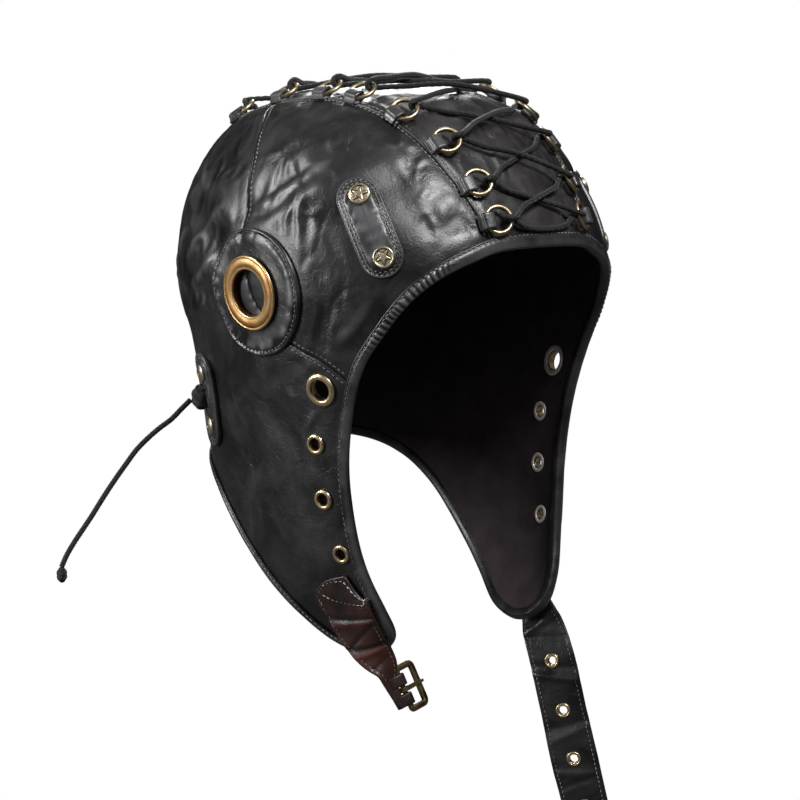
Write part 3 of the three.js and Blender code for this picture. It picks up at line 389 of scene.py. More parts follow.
# The hide lies flat this near to the binding, and is loose a little further in.
EDGE_HELD, LOOSENS = 6.5, 4.0
# The grooves that the seams and their stitches draw into the hide.
SEAM_DEPTH, SEAM_HALF, STITCH_DEPTH, STITCH_HALF, STITCH_OFFSET, PUCKER = 0.60, 0.6, 0.22, 0.7, 2.0, 0.10


def clamped(value):
    return np.clip(value, 0, 1)


def ramp(value, start, end):
    """From 0 at the start to 1 at the end."""
    return clamped((value - start) / (end - start))


def bell(value, width, middle=0.0):
    """A soft hump, 1 high at its middle."""
    return np.exp(-((value - middle) / width) ** 2)


def form_value(points):
    """Below zero inside the form and above zero outside it."""
    z = np.minimum(points[..., 2], FORM[0, 0] - 0.001)
    side, front, back, square = np.moveaxis(at_places(z, falling[::-1], form_line[::-1, 1:]), -1, 0)
    reach = np.where(points[..., 1] < 0, front, back)
    value = (np.abs(points[..., 0]) / side) ** square + (np.abs(points[..., 1]) / reach) ** square - 1
    return np.where(points[..., 2] >= FORM[0, 0], np.maximum(value, 0.001), value)


def form_slope(points, step=0.4):
    return np.stack([form_value(points + shift) - form_value(points - shift) for shift in np.eye(3) * step],
                    -1) / (2 * step)


def form_normal(points):
    points = np.asarray(points, float)
    top = ramp(np.hypot(points[..., 0], points[..., 1])[..., None], 9.6, 3.6)
    return unit(unit(form_slope(points)) * (1 - top) + np.array([0, 0, 1]) * top)


def onto_form(points, rounds=4):
    """The nearest places on the form, by short steps along its slope."""
    points = np.array(points, float)
    for _ in range(rounds):
        slope = form_slope(points, 0.2)
        move = slope * (form_value(points) / np.maximum((slope**2).sum(-1), 1e-9))[..., None]
        length = np.linalg.norm(move, axis=-1, keepdims=True)
        points -= move * np.minimum(1, 4 / np.maximum(length, 1e-9))
    return points


def cast(origins, ways):
    """Where rays from inside the form meet it."""
    origins, ways = np.broadcast_arrays(np.asarray(origins, float), unit(ways))
    near = np.zeros(origins.shape[:-1])
    far = near + 160
    for _ in range(36):
        middle = (near + far) / 2
        inside = form_value(origins + ways * middle[..., None]) < 0
        near, far = np.where(inside, middle, near), np.where(inside, far, middle)
    return origins + ways * near[..., None]


def from_side(side, y, z):
    """The place on the form that is seen from the side at a point."""
    y, z = np.broadcast_arrays(np.asarray(y, float), z)
    return cast(np.stack([y * 0, y, z], -1), [side, 0, 0])


def from_fan(lateral, degrees):
    """A place on the form at an angle turned over the crown from the forehead."""
    lateral, angle = np.broadcast_arrays(np.asarray(lateral, float), np.radians(degrees))
    origins = np.stack([lateral, lateral * 0 + FAN_Y, lateral * 0 + FAN_Z], -1)
    return cast(origins, np.stack([angle * 0, -np.cos(angle), np.sin(angle)], -1))


def fan_degrees(points):
    degrees = np.degrees(np.arctan2(points[..., 2] - FAN_Z, FAN_Y - points[..., 1]))
    return np.where(degrees < -60, degrees + 360, degrees)


def from_line(y, z, line):
    """Distance from a line seen from the side, the part along it and the side of it."""
    best, part, turn = np.full(np.shape(y), 1e9), 0, 0
    for i, ((y0, z0), (y1, z1)) in enumerate(zip(line[:-1], line[1:])):
        dy, dz = y1 - y0, z1 - z0
        s = clamped(((y - y0) * dy + (z - z0) * dz) / (dy * dy + dz * dz))
        away = np.hypot(y - y0 - s * dy, z - z0 - s * dz)
        part = np.where(away < best, (i + s) / (len(line) - 1), part)
        turn = np.where(away < best, dy * (z - z0) - dz * (y - y0), turn)
        best = np.minimum(best, away)
    return best, part, np.sign(turn)


def fold_height(points):
    """Height of the broad folds over the form."""
    height = 0
    for y0, z0, y1, z1, width, high in FOLDS:
        away = from_line(points[..., 1], points[..., 2], [(y0, z0), (y1, z1)])[0]
        height = height + high * bell(away, width)
    return height * ramp(np.abs(points[..., 0]), 30, 50)


def over_form(places, height, folds=True):
    """Places on the form lifted over it, or over its broad folds."""
    return places + form_normal(places) * np.asarray(height + (fold_height(places) if folds else 0))[..., None]


def soft_noise(points, size, seed):
    """Smooth uneven values from -1 to 1 that change over about one size."""
    values = np.random.default_rng(seed).uniform(-1, 1, (NOISE_CELLS,) * 3)
    place = np.asarray(points) / size + 10 * NOISE_CELLS
    cell = np.floor(place).astype(int)
    part = place - cell
    part = part * part * (3 - 2 * part)
    total = 0
    for corner in np.ndindex(2, 2, 2):
        at = (cell + corner) % NOISE_CELLS
        total = total + np.abs(1 - np.array(corner) - part).prod(-1) * values[at[..., 0], at[..., 1], at[..., 2]]
    return total


def strip_half(degrees):
    """Half the crown strip's width at an angle over the crown."""
    return np.interp(degrees, *zip(*STRIP))


def edge_rows(rows, side, per_span):
    """The edge seen from the side: y, z and the binding's width."""
    return curve_through([(y - side * lean, z, band) for y, z, lean, band in rows], per_span, 0)


edge_lines = {side: np.vstack([edge_rows(FACE_EDGE, side, 8), edge_rows(REAR_EDGE, side, 8)[1:]])[:, :2]
              for side in (-1, 1)}
seam_line = curve_through(SIDE_SEAM, 6, 0)


def inside_edge(points, side):
    """Distance inside the hat's lower edge, below zero outside it."""
    y, z, line = points[..., 1], points[..., 2], edge_lines[side]
    ring = np.vstack([[-200, line[0, 1]], line, [200, line[-1, 1]], [200, 60], [-200, 60]])
    odd = np.zeros(np.shape(y), bool)
    for (y0, z0), (y1, z1) in zip(ring, np.roll(ring, -1, axis=0)):
        if z0 != z1:
            odd ^= ((z0 > z) != (z1 > z)) & (y < y0 + (z - z0) / (z1 - z0) * (y1 - y0))
    return np.where(odd, 1, -1) * from_line(y, z, line)[0]


def hide_lift(places, side):
    """Height of the folded, creased and puckered hide over the form, and over its folds."""
    y, z, out, degrees = places[..., 1], places[..., 2], np.abs(places[..., 0]), fan_degrees(places)
    at_seam, along_seam, _ = from_line(y, z, seam_line)
    seams = ((np.abs(out - strip_half(degrees)), degrees * 1.7),
             (np.where(out > 30, at_seam, 50), along_seam * distances(seam_line)[-1]))
    slack = ramp(inside_edge(places, side), EDGE_HELD, EDGE_HELD + LOOSENS)
    for y0, z0, y1, z1, lean, reach in HELD_FLAT:
        away = from_line(y - side * lean, z, [(y0, z0), (y1, z1)])[0]
        slack = slack * np.where(out > 30, ramp(away, reach, reach + LOOSENS), 1)
    for _, eye_y, eye_z, flange, _ in EYELETS:
        slack = slack * ramp(np.hypot(y - eye_y, z - eye_z), flange + 0.6, flange + 3.6)
    height = 0
    for width, high, *line in CREASES:
        away, part, _ = from_line(y, z, curve_through(line, 5, 0))
        taper = clamped(1.15 * np.sin(np.pi * np.clip(part, 0.04, 0.96)))
        height = height + high * taper * bell(away, width)
    bent = places + 5 * np.stack([soft_noise(places, 15, seed) for seed in (61 + side, 64, 67 + side)], -1)
    broad, fine = [soft_noise(bent * (1, 1, 0.62), size, seed) for size, seed in ((15, 11 + side), (7, 23 + side))]
    crumple = (0.60 * broad + 0.42 * (0.5 - np.abs(fine) * 2) + 0.05 * soft_noise(bent, 3.4, 31 + side)
               - 0.22 * bell(broad, 0.10)) * (0.35 + 0.65 * ramp(z, -135, -95))
    loose = np.clip((np.minimum(seams[0][0], seams[1][0]) - 1.5) / 5, 0.25, 1)
    height = (height * ramp(out, 34, 48) + crumple) * slack * loose
    for away, along in seams:
        pucker = PUCKER * np.cos(2 * np.pi * along / STITCH_PITCH) * bell(away, 2 * STITCH_HALF, STITCH_OFFSET)
        height = (height - SEAM_DEPTH * bell(away, SEAM_HALF) - STITCH_DEPTH * bell(away, STITCH_HALF, STITCH_OFFSET)
                  + pucker * (0.6 + 0.4 * soft_noise(places, 9, 47)))
    return fold_height(places) + height, height


def trim(data, quads, odd, column):
    """Keeps the part of a sheet where a column of its data is above zero, cut exactly."""
    value = data[:, column]
    above = value >= 0
    count = above[quads].sum(axis=1)
    made, rows, kept = {}, [], []
    for face in [tuple(face) for face in quads[(count > 0) & (count < 4)]] + odd:
        ring = []
        for a, b in zip(face, face[1:] + face[:1]):
            if above[a]:
                ring.append(a)
            if above[a] != above[b]:
                low, high = min(a, b), max(a, b)
                if (low, high) not in made:
                    made[low, high] = len(data) + len(rows)
                    rows.append(data[low] + (data[high] - data[low]) * value[low] / (value[low] - value[high]))
                ring.append(made[low, high])
        if len(ring) > 2:
            kept.append(tuple(ring))
    return np.vstack([data, *rows]), quads[count == 4], kept


def cut(data, quads, *columns, ends=()):
    """The part of a sheet where all those columns are above zero: its data and faces."""
    odd = []
    for column in columns:
        data, quads, odd = trim(data, quads, odd, column)
    faces = [*quads, *odd, *ends]
    used = np.unique(np.concatenate(faces))
    number = np.zeros(len(data), int)
    number[used] = np.arange(len(used))
    return data[used], [tuple(number[list(face)]) for face in faces]


def walled(outer, inner, faces):
    """A closed wall between two skins of the same faces, with rims where they end."""
    count = len(outer)
    edges = {(a, b) for face in faces for a, b in zip(face, face[1:] + face[:1])}
    back = [tuple(c + count for c in reversed(face)) for face in faces]
    rims = [(b, a, a + count, b + count) for a, b in edges if (b, a) not in edges]
    return np.vstack([outer, inner]), [*faces, *back, *rims]


def new_group(name, inputs, outputs, kind="Shader"):
    """An empty group of nodes with named inputs and outputs, and their sockets inside it."""
    group = bpy.data.node_groups.new(name, f"{kind}NodeTree")
    for way, labels in (("INPUT", inputs), ("OUTPUT", outputs)):
        for label, socket in labels.items():
            group.interface.new_socket(label, in_out=way, socket_type=f"NodeSocket{socket}")
    return group, group.nodes.new("NodeGroupInput").outputs, group.nodes.new("NodeGroupOutput").inputs


def finish_of(name, effect, values, strength, depth, mark=None, **shading):
    """A finish with one effect in it; a mark is the piece's attribute that shows its wear."""
    made, tree, shader, place = new_finish(name)
    used = tree.nodes.new("ShaderNodeGroup")
    used.node_tree = effect
    fill(tree, used.inputs, {"Position": place, **values})
    if mark:
        fill(tree, used.inputs, {"Mark": node(tree, "Attribute", out="Fac", attribute_name=mark)})
        fill(tree, shader, {"Roughness": used.outputs["Roughness"]})
    fill(tree, shader, {"Base Color": used.outputs["Color"],
                        "Normal": bumps(tree, used.outputs["Height"], strength, depth), **shading})
    return made


EFFECT = {"Color": "Color", "Roughness": "Float", "Height": "Float"}
# The grain that all leathers share: fine pores, wrinkles in the finish and cloudy wear. The piece's mark lightens it:
# wear, and on the sewn tabs, ear discs and ring loops also a painted highlight.
grain, given, put = new_group("leather_grain", {
    "Position": "Vector", "Mark": "Float", "Full Mark": "Float", "Pore Size": "Float", "Wrinkle Size": "Float",
    "Base": "Color", "Lighter Colour": "Color", "Gloss": "Float", "Cloud Depth": "Float"}, EFFECT)
place = given["Position"]
pores = node(grain, "TexVoronoi", {"Vector": place, "Scale": calc(grain, "DIVIDE", 1000.0, given["Pore Size"])},
             feature="SMOOTH_F1")
wrinkles = noise(grain, place, calc(grain, "DIVIDE", 1000.0, given["Wrinkle Size"]), 5.0, 0.55, 1.2)
clouds = noise(grain, place, 42.0, 4.0, 0.6, 0.6)
valley = spread(grain, calc(grain, "ABSOLUTE", calc(grain, "SUBTRACT", wrinkles, 0.5)), 0.0, 0.06)
scuff = calc(grain, "MULTIPLY", spread(grain, clouds, 0.38, 0.66), given["Cloud Depth"])
wear_and_highlight = calc(grain, "ADD", spread(grain, given["Mark"], 0.0, given["Full Mark"]), scuff, clamp=True)
rise = calc(grain, "MULTIPLY", pores, 0.35)
for texture, share in ((noise(grain, place, 2200.0), 0.12), (valley, 0.15), (wrinkles, 1.6)):
    rise = calc(grain, "MULTIPLY_ADD", texture, share, rise)
fill(grain, put, {
    "Color": blend(grain, wear_and_highlight, given["Base"], given["Lighter Colour"]),
    "Roughness": calc(grain, "ADD", given["Gloss"], spread(grain, clouds, 0.3, 0.7, -0.08, 0.14)), "Height": rise})


def leather(name, base, wear_and_highlight, gloss, clouds, depth, wrinkle=7.0, pore=0.9, rub=1.0):
    """A leather finish; the piece's rubbed attribute shows where it is lighter: where it is worn, and where a
    highlight is painted on.
    """
    values = {"Full Mark": rub, "Pore Size": pore, "Wrinkle Size": wrinkle, "Base": colour(*base),
              "Lighter Colour": colour(*wear_and_highlight), "Gloss": gloss, "Cloud Depth": clouds}
    return finish_of(name, grain, values, 1.0, depth, "rubbed",
                     **{"Specular IOR Level": 0.55, "Coat Weight": 0.18, "Coat Roughness": 0.28})


def leather_panel(name, places, faces, side, finish, stands_for):
    """One panel: its outer face with all its folds, a wall behind it and its rims."""
    lift, height = hide_lift(places, side)
    points, shell = walled(over_form(places, lift, False), over_form(places, -LEATHER), faces)
    rubbed = np.concatenate([ramp(height, 0.30, 1.20), 0 * height])
    fixed(make_piece(name, points, shell, finish, rubbed=rubbed), "black_leather", stands_for)


def form_rows(start, end, cell):
    """Numbers of rows down the form from one row to another, evenly spaced over it."""
    down = distances(form_line[:, :2])
    return np.interp(np.linspace(start, down[end], int((down[end] - start) / cell)), down, np.arange(len(down)))


def form_place(row, angle, side=1):
    """A place on the form at a row down it and an angle round it from the front."""
    z, wide, front, back, square = at_places(row, np.arange(len(form_line)), form_line).T
    sine, cosine = np.sin(angle), np.cos(angle)
    return np.stack([side * wide * np.sign(sine) * np.abs(sine) ** (2 / square),
                     np.where(cosine > 0, -front, back) * np.abs(cosine) ** (2 / square), z], -1)


def hole_gap(places, side, eyelets):
    """Distance outside the holes for the eyelets' barrels."""
    gap = np.full(len(places), 50.0)
    for _, eye_y, eye_z, _, bore in eyelets:
        centre = from_side(side, eye_y, eye_z)
        away = np.linalg.norm(np.cross(places - centre, form_normal(centre)), axis=1)
        gap = np.minimum(gap, away - bore - EYELET_WALL - SEAM_GAP)
    return gap


hide_black = leather("black_sheepskin", (11, 11, 12), (78, 78, 81), 0.35, 0.20, 0.14)
for side, hand in hands.items():
    down = distances(form_line[:, :2])
    rows, turn = form_rows(down[60], -40, PANEL_CELL), np.radians(np.linspace(9, 172, int(270 / PANEL_CELL)))
    row, angle = [grid.ravel() for grid in np.meshgrid(rows, turn, indexing="ij")]
    places = form_place(row, angle, side)
    away, _, turned_to = from_line(places[:, 1], places[:, 2], seam_line)
    data = np.column_stack([
        row, angle, np.abs(places[:, 0]) - strip_half(fan_degrees(places)) - SEAM_GAP / 2,
        inside_edge(places, side), hole_gap(places, side, EYELETS), away * turned_to - SEAM_GAP / 2,
        -away * turned_to - SEAM_GAP / 2])
    for column in (5, 6):
        part, faces = cut(data, grid_faces(len(rows), len(turn)), 2, 3, 4, column)
        places = form_place(part[:, 0], part[:, 1], side)
        kind = "flap_panel" if places[:, 2].min() < -200 else "temple_panel"
        leather_panel(f"{kind}_hide_{hand}", places, faces, side, hide_black, f"{kind}_{hand}")

degrees, across = np.meshgrid(np.linspace(0, 232, int(345 / PANEL_CELL)), np.linspace(-1, 1, int(92 / PANEL_CELL)),
                              indexing="ij")
places = from_fan(across * (strip_half(degrees) - SEAM_GAP / 2), degrees).reshape(-1, 3)
data, faces = cut(np.column_stack([places, inside_edge(places, 1)]), grid_faces(*degrees.shape), 3)
strip_black = leather("strip_leather", (27, 24, 25), (92, 88, 90), 0.33, 0.3, 0.14)
leather_panel("crown_strip_hide", onto_form(data[:, :3], 2), faces, 1, strip_black, "crown_strip")

# Seam stitching and piping: waxed grey thread in a lockstitch of 2.4 mm, in one row behind
# each side of the crown seams and the side seams, and a thin leather piping that is caught
# in each crown seam.
SEAM_FRONT, SEAM_BACK, PIPING_RADIUS = 7.0, 226.0, 0.62
CROWN_ROWS, SIDE_ROWS = (-1.7, 1.5), ((-1.9, 0.0), (1.9, -92.0))
LEAST_STITCH, MOST_STITCH = (0.88, 0.9, 0.85), (1.08, 1.1, 1.12)
ROWS_FROM_EDGE, PIPING_FROM_EDGE, PIPING_STEP, SUNK = 6.0, 5.8, 1.2, 0.12

# Stitches, caps, eyelets and rings are all set by one tree of nodes: a pattern piece on each
# seat, stood upright, turned along it, and given a size between two limits.
setting, given, put = new_group("set_pieces", {
    "Seats": "Geometry", "Pattern": "Object", "Least": "Vector", "Most": "Vector", "Finish": "Material"},
    {"Pieces": "Geometry"}, "Geometry")
socket = {item.name: item.identifier for item in setting.interface.items_tree}
up, along = [node(setting, "GeometryNodeInputNamedAttribute", {"Name": label}, data_type="FLOAT_VECTOR")
             for label in ("up", "along")]
own = node(setting, "GeometryNodeInputNamedAttribute", {"Name": "scale"}, data_type="FLOAT")
turned_to = node(setting, "FunctionNodeAxesToRotation", {0: up, 1: along}, primary_axis="Z", secondary_axis="X")
uneven = node(setting, "FunctionNodeRandomValue", {0: given["Least"], 1: given["Most"], "Seed": 5},
              data_type="FLOAT_VECTOR")
size = node(setting, "VectorMath", {0: uneven, "Scale": own}, operation="SCALE")
shape = node(setting, "GeometryNodeObjectInfo", {"Object": given["Pattern"]}, "Geometry")
each = node(setting, "GeometryNodeInstanceOnPoints", {"Points": given["Seats"], "Instance": shape,
                                                      "Rotation": turned_to, "Scale": size})
real = node(setting, "GeometryNodeRealizeInstances", {0: each})
fill(setting, put, {"Pieces": node(setting, "GeometryNodeSetMaterial", {0: real, "Material": given["Finish"]})})


def fitted(name, pattern, seats, finish, slot=None, nodes=(), least=(1, 1, 1), most=(1, 1, 1)):
    """Copies of a pattern piece at its seats: places, ways outwards, ways along and scales."""
    points, faces, tarnish = pattern
    shape = make_piece(f"{name}_pattern", points, faces, finish, tarnish=tarnish)
    places, up, along, scales = seats
    mesh = bpy.data.meshes.new(name)
    mesh.from_pydata((np.asarray(places) * MM).tolist(), [], [])
    for mark, kind, field, values in (("up", "FLOAT_VECTOR", "vector", up), ("scale", "FLOAT", "value", scales),
                                      ("along", "FLOAT_VECTOR", "vector", along)):
        values = np.asarray(values, np.float32).ravel()
        mesh.attributes.new(mark, kind, "POINT").data.foreach_set(field, values)
    piece = bpy.data.objects.new(name, mesh)
    scene.collection.objects.link(piece)
    growth = piece.modifiers.new("growth", "NODES")
    growth.node_group = setting
    for label, value in (("Pattern", shape), ("Least", least), ("Most", most), ("Finish", finish)):
        growth[socket[label]] = value
    graph = bpy.context.evaluated_depsgraph_get()
    full = bpy.data.meshes.new_from_object(piece.evaluated_get(graph), depsgraph=graph)
    piece.modifiers.remove(growth)
    piece.data, full.name = full, name
    bpy.data.objects.remove(shape)
    return fixed(piece, slot, *nodes)


# The yarn that all threads share: waxed, worn in places, with the twist of its fibres.
twist, given, put = new_group("waxed_yarn", {
    "Position": "Vector", "Wear Scale": "Float", "Least Wear": "Float", "Full Wear": "Float", "Waxed": "Color",
    "Lighter Colour": "Color"}, {"Color": "Color", "Height": "Float"})
tone = noise(twist, given["Position"], given["Wear Scale"], 3.0)
tone = spread(twist, tone, given["Least Wear"], given["Full Wear"])
fill(twist, put, {"Color": blend(twist, tone, given["Waxed"], given["Lighter Colour"]),
                  "Height": noise(twist, given["Position"], 3200.0, 1.0)})


def new_thread(name, scale, least, full, waxed, wear_and_highlight):
    values = {"Wear Scale": scale, "Least Wear": least, "Full Wear": full, "Waxed": colour(*waxed),
              "Lighter Colour": colour(*wear_and_highlight)}
    return finish_of(name, twist, values, 0.5, 0.1, Roughness=0.5)


thread = new_thread("waxed_thread", 55.0, 0.35, 0.68, (46, 44, 44), (178, 176, 171))


def sewn(name, rows, length=1.8, thickness=0.52, yarn=thread):
    """Stitches as one piece, from rows of (places, outwards, lengthwise)."""
    polar = np.radians([15, 50, 90, 130, 165])[:, None]
    angle = full_turn(8)
    ball = np.stack([np.sin(polar) * np.cos(angle) * length, np.sin(polar) * np.sin(angle) * thickness,
                     np.cos(polar) * thickness * np.ones(8)], -1) / 2
    points, faces = lofted(ball)
    seats = [np.vstack(column) for column in zip(*rows)]
    fitted(name, (points, faces, np.zeros(len(points))), (*seats, np.ones(len(seats[0]))), yarn,
           least=LEAST_STITCH, most=MOST_STITCH)


seam_degrees = np.linspace(SEAM_FRONT, SEAM_BACK, 200)
seam_rows, piping = [], {}
for side in hands:
    lines = [from_fan(side * (strip_half(seam_degrees) + offset), seam_degrees) for offset in (*CROWN_ROWS, 0)]
    rows = [line[inside_edge(line, side) > ROWS_FROM_EDGE] for line in lines[:2]]
    down = curve_through(SIDE_SEAM, 10, 0)
    across = ways_along(down)[:, ::-1] * (-1, 1)
    for offset, top in SIDE_ROWS:
        line = from_side(side, *(down + across * offset).T)
        keep = (np.abs(line[:, 0]) > strip_half(fan_degrees(line)) + 2) & (inside_edge(line, side) > 5)
        keep &= (np.hypot(line[:, 1] - EAR_Y, line[:, 2] - EAR_Z) > EAR_RADIUS + 1) & (line[:, 2] < top)
        rows += [line[keep & part] for part in (line[:, 2] > -80, line[:, 2] < -90) if (keep & part).sum() > 5]
    for line in rows:
        places, _ = even_steps(line, STITCH_PITCH)
        seats = onto_form(places, 2)
        ups = form_normal(seats)
        seam_rows.append((seats + ups * (hide_lift(seats, side)[0] + 0.12)[:, None], ups, ways_along(places)))
    line, _ = even_steps(lines[2][inside_edge(lines[2], side) > PIPING_FROM_EDGE], PIPING_STEP)
    line = over_form(onto_form(line, 2), -SUNK)
    points, faces, _ = braided_cord(line, PIPING_RADIUS, 10, PIPING_STEP, 2, 9.0, 0.06)
    piping[side] = points, faces, np.full(len(points), 0.04)
sewn("seam_stitches", seam_rows)

# Lining: one soft bag of black satin, 0.8 mm thick, hung inside the leather and caught
# under the edge binding. It lies loose against the hide, with small puckers of its own, and
# is left unpunched behind the three small eyelets of the right flap, so that dark satin stands
# in for shade in their holes.
LINING, LINING_CELL, LINING_ROUND = 0.8, 3.0, 580

satin, tree, shader, place = new_finish("black_satin")
soft = noise(tree, place, 90.0, 3.0)
relief = calc(tree, "MULTIPLY_ADD", node(tree, "TexVoronoi", {"Vector": place, "Scale": 1900.0}), 0.1, soft)
fill(tree, shader, {
    "Base Color": blend(tree, spread(tree, soft, 0.35, 0.7), colour(47, 39, 41), colour(60, 51, 53)),
    "Normal": bumps(tree, relief, 0.4, 0.8), "Roughness": 0.75, "Specular IOR Level": 0.25})
rows = form_rows(1.2, -40, LINING_CELL)
turn = full_turn(int(LINING_ROUND / LINING_CELL))
places = form_place(*[grid.ravel() for grid in np.meshgrid(rows, turn, indexing="ij")])
inside, holes = [np.where(places[:, 0] < 0, *pair) for pair in (
    [inside_edge(places, side) for side in hands],
    [hole_gap(places, -1, EYELETS[:1]), hole_gap(places, 1, EYELETS)])]
data, faces = cut(np.column_stack([places, inside, holes]), grid_faces(len(rows), len(turn), wrap=True), 3, 4,
                  ends=[tuple(range(len(turn)))[::-1]])
places = data[:, :3]
pucker = 0.35 * soft_noise(places * (1, 1, 0.5), 12, 83) + 0.3 * soft_noise(places, 30, 85)
pucker = np.minimum(pucker * ramp(data[:, 3], 4, 10) * ramp(data[:, 4], 0, 4), 0.3)
back = -LEATHER - SEAM_GAP
points, shell = walled(over_form(places, back - 0.1), over_form(places, back - LINING - 0.35 + pucker), faces)
fixed(make_piece("satin_lining", points, shell, satin), "black_lining", "lining")

# Edge binding: strips of the same leather, folded over the edge of hide and lining and
# stitched through, one round the face opening from flap tip to flap tip and one along the
# nape. Round the curve of the cheek the strip is gathered into short pleats.
BINDING_STEP, PLEAT_PITCH, STITCH_INSET = 0.62, 2.6, 1.15
PLEATS_FRONT, PLEATS_BACK, PLEATS_TOP, PLEATS_BOTTOM = -88, -50, -74, -116
# The binding's section: part of its width, distance from that, and height over the hide.
BINDING_SECTION = np.array([
    (1, 0.0, 0.30), (1, -0.05, 0.85), (1, -0.40, 1.14), (1, -0.85, 1.08), (1, -STITCH_INSET, 0.90),
    (1, -1.50, 1.12), (0.7, -0.6, 1.34), (0.45, -0.2, 1.42), (0.2, 0.0, 1.32), (0, -0.20, 1.05),
    (0, -0.70, 0.55), (0, -1.00, -0.3), (0, -1.10, -1.2), (0, -1.00, -2.2), (0, -0.70, -2.95),
    (0, -0.1, -3.4), (0.3, 0.0, -3.55), (0.7, 0.0, -3.5), (1, -0.3, -3.3), (1, 0.0, -2.85),
    (1, 0.0, -2.65), (0, -0.3, -2.65), (0, -0.3, 0.28),
])
# Points of that section: its line of stitches, its round top and its fold.
STITCHED, ROUND_TOP, FOLD = 4, 7, 9


def half_edge(rows, side):
    """The edge as points on one half of the form, with its width, from the middle outwards."""
    line = edge_rows(rows, side, 400)
    wide, front, back, square = at_places(line[:, 1], falling[::-1], form_line[::-1, 1:]).T
    near = np.abs(line[:, 0]) / np.where(line[:, 0] < 0, front, back)
    x = side * wide * (1 - np.minimum(near, 1) ** square) ** (1 / square)
    points = np.column_stack([x, line])[near < 1]
    points = points if abs(points[0, 0]) < abs(points[-1, 0]) else points[::-1]
    return np.vstack([points[:1] * (0, 1, 1, 1), points])


def swept_binding(name, rows, stands_for):
    """The folded strip along one edge, and the seats of its stitches."""
    line, along = even_steps(np.vstack([half_edge(rows, -1)[::-1], half_edge(rows, 1)[1:]]), BINDING_STEP)
    edge, band = line[:, :3], line[:, 3]
    tangents = ways_along(edge)
    inwards = unit(np.cross(form_normal(edge), tangents))
    third = len(edge) // 3
    if inside_edge(edge[third] + inwards[third] * 2, 1 if edge[third, 0] > 0 else -1) < 0:
        inwards = -inwards
    part, offset, height = BINDING_SECTION.T
    places = onto_form(edge[:, None] + inwards[:, None] * (part * band[:, None] + offset)[..., None], 3)
    y, z, number = edge[:, 1], edge[:, 2], np.arange(len(height))
    gathered = (ramp(y, PLEATS_BACK, PLEATS_BACK - 8) * ramp(y, PLEATS_FRONT, PLEATS_FRONT + 5)
                * ramp(z, PLEATS_TOP, PLEATS_TOP - 5) * ramp(z, PLEATS_BOTTOM, PLEATS_BOTTOM + 14))
    uneven = soft_noise(edge, 11, 91)
    wave = np.sin(2 * np.pi * (along / PLEAT_PITCH + 0.35 * soft_noise(edge, 6, 92)))
    puff = (gathered * (0.48 + 0.16 * uneven) * wave + 0.10 * soft_noise(edge, 5, 93)
            + 0.08 * uneven)[:, None] * bell(number, 2.6, ROUND_TOP)
    drawn = -0.07 * np.cos(2 * np.pi * along / STITCH_PITCH) * (1 - 0.5 * gathered)
    puff = puff + drawn[:, None] * bell(number, 1.6, STITCHED + 0.5)
    loops = over_form(places, height + puff)
    wear_and_highlight = clamped(puff * 2.2 + bell(number, 1.5, FOLD) * 0.35)
    uv = np.stack([np.repeat(along / 10, len(number)), np.tile(number / (len(number) - 1), len(along))], 1)
    fixed(make_piece(name, *lofted(loops), binding_black, uv, rubbed=wear_and_highlight), "black_leather", stands_for)
    seats = np.arange(STITCH_PITCH, along[-1] - STITCH_PITCH, STITCH_PITCH)
    ups = form_normal(places[:, STITCHED])
    seated, ups, ways = [at_places(seats, along, rows) for rows in (loops[:, STITCHED] + ups * 0.12, ups, tangents)]
    return seated, unit(ups), unit(ways)


binding_black = leather("binding_leather", (14, 14, 15), (108, 108, 112), 0.34, 0.22, 0.12, 5.0)
sewn("binding_stitches", [swept_binding("face_edge_binding", FACE_EDGE, "face_binding"),
                          swept_binding("nape_edge_binding", REAR_EDGE, "rear_binding")], length=1.75)

# Ear discs: a round of leather 56 mm across over each ear, turned under and sewn at its
# rim, that is pulled into small radial creases by a large brass grommet. Bare hide shows in
# the hole.
EAR_COUNT, PATCH_GAP, PATCH_LEATHER = 220, 0.3, 1.4
PATCH_FACE = PATCH_GAP + PATCH_LEATHER
# The disc's rim and stitching, from its edge inwards: distance and height.
EAR_PROFILE = np.array([
    (0, 0.34), (0.10, 0.95), (0.40, 1.45), (0.85, 1.70), (1.35, 1.62), (1.75, 1.38), (2.15, 1.30),
    (2.6, 1.45), (3.1, 1.72), (3.9, 1.90), (5.2, 1.86), (7.0, 1.74), (9.5, 1.70), (12.0, 1.70), (17.2, 1.70),
])
# The grommet's section: radius and height over the disc's face.
GROMMET_SECTION = [
    (10.0, -1.8), (10.0, 0.6), (10.15, 1.25), (10.6, 1.55), (11.1, 1.40), (12.4, 1.75), (13.8, 1.70),
    (14.8, 1.35), (15.05, 1.15), (15.35, 1.45), (15.9, 1.40), (16.25, 0.95), (16.15, 0.2), (11.2, 0.15),
    (10.9, -0.6), (10.9, -1.8),
]


def standing(point, upwards=(0, 0, 1)):
    """Crosswise, upright and outward directions of something fixed flat on the form."""
    normal = form_normal(point)
    across = unit(np.cross(upwards, normal))
    return np.array([across, np.cross(normal, across), normal])


def laid_patch(name, centre, axes, flat, lift, wear_and_highlight, hollow, stands_for):
    """A patch over the form from loops drawn flat in its own plane, rim first; its top loops."""
    places = onto_form(centre + flat @ axes[:2], 5)
    top, under, bare = over_form(places, lift), over_form(places, PATCH_GAP)[::-1], np.zeros(wear_and_highlight.shape)
    loops, rubbed = [np.concatenate(pair if hollow else pair[::-1]) for pair in ((top, under), (wear_and_highlight, bare))]
    fixed(make_piece(name, *lofted(loops, hollow), patch_black, rubbed=rubbed), "black_leather", stands_for)
    return top


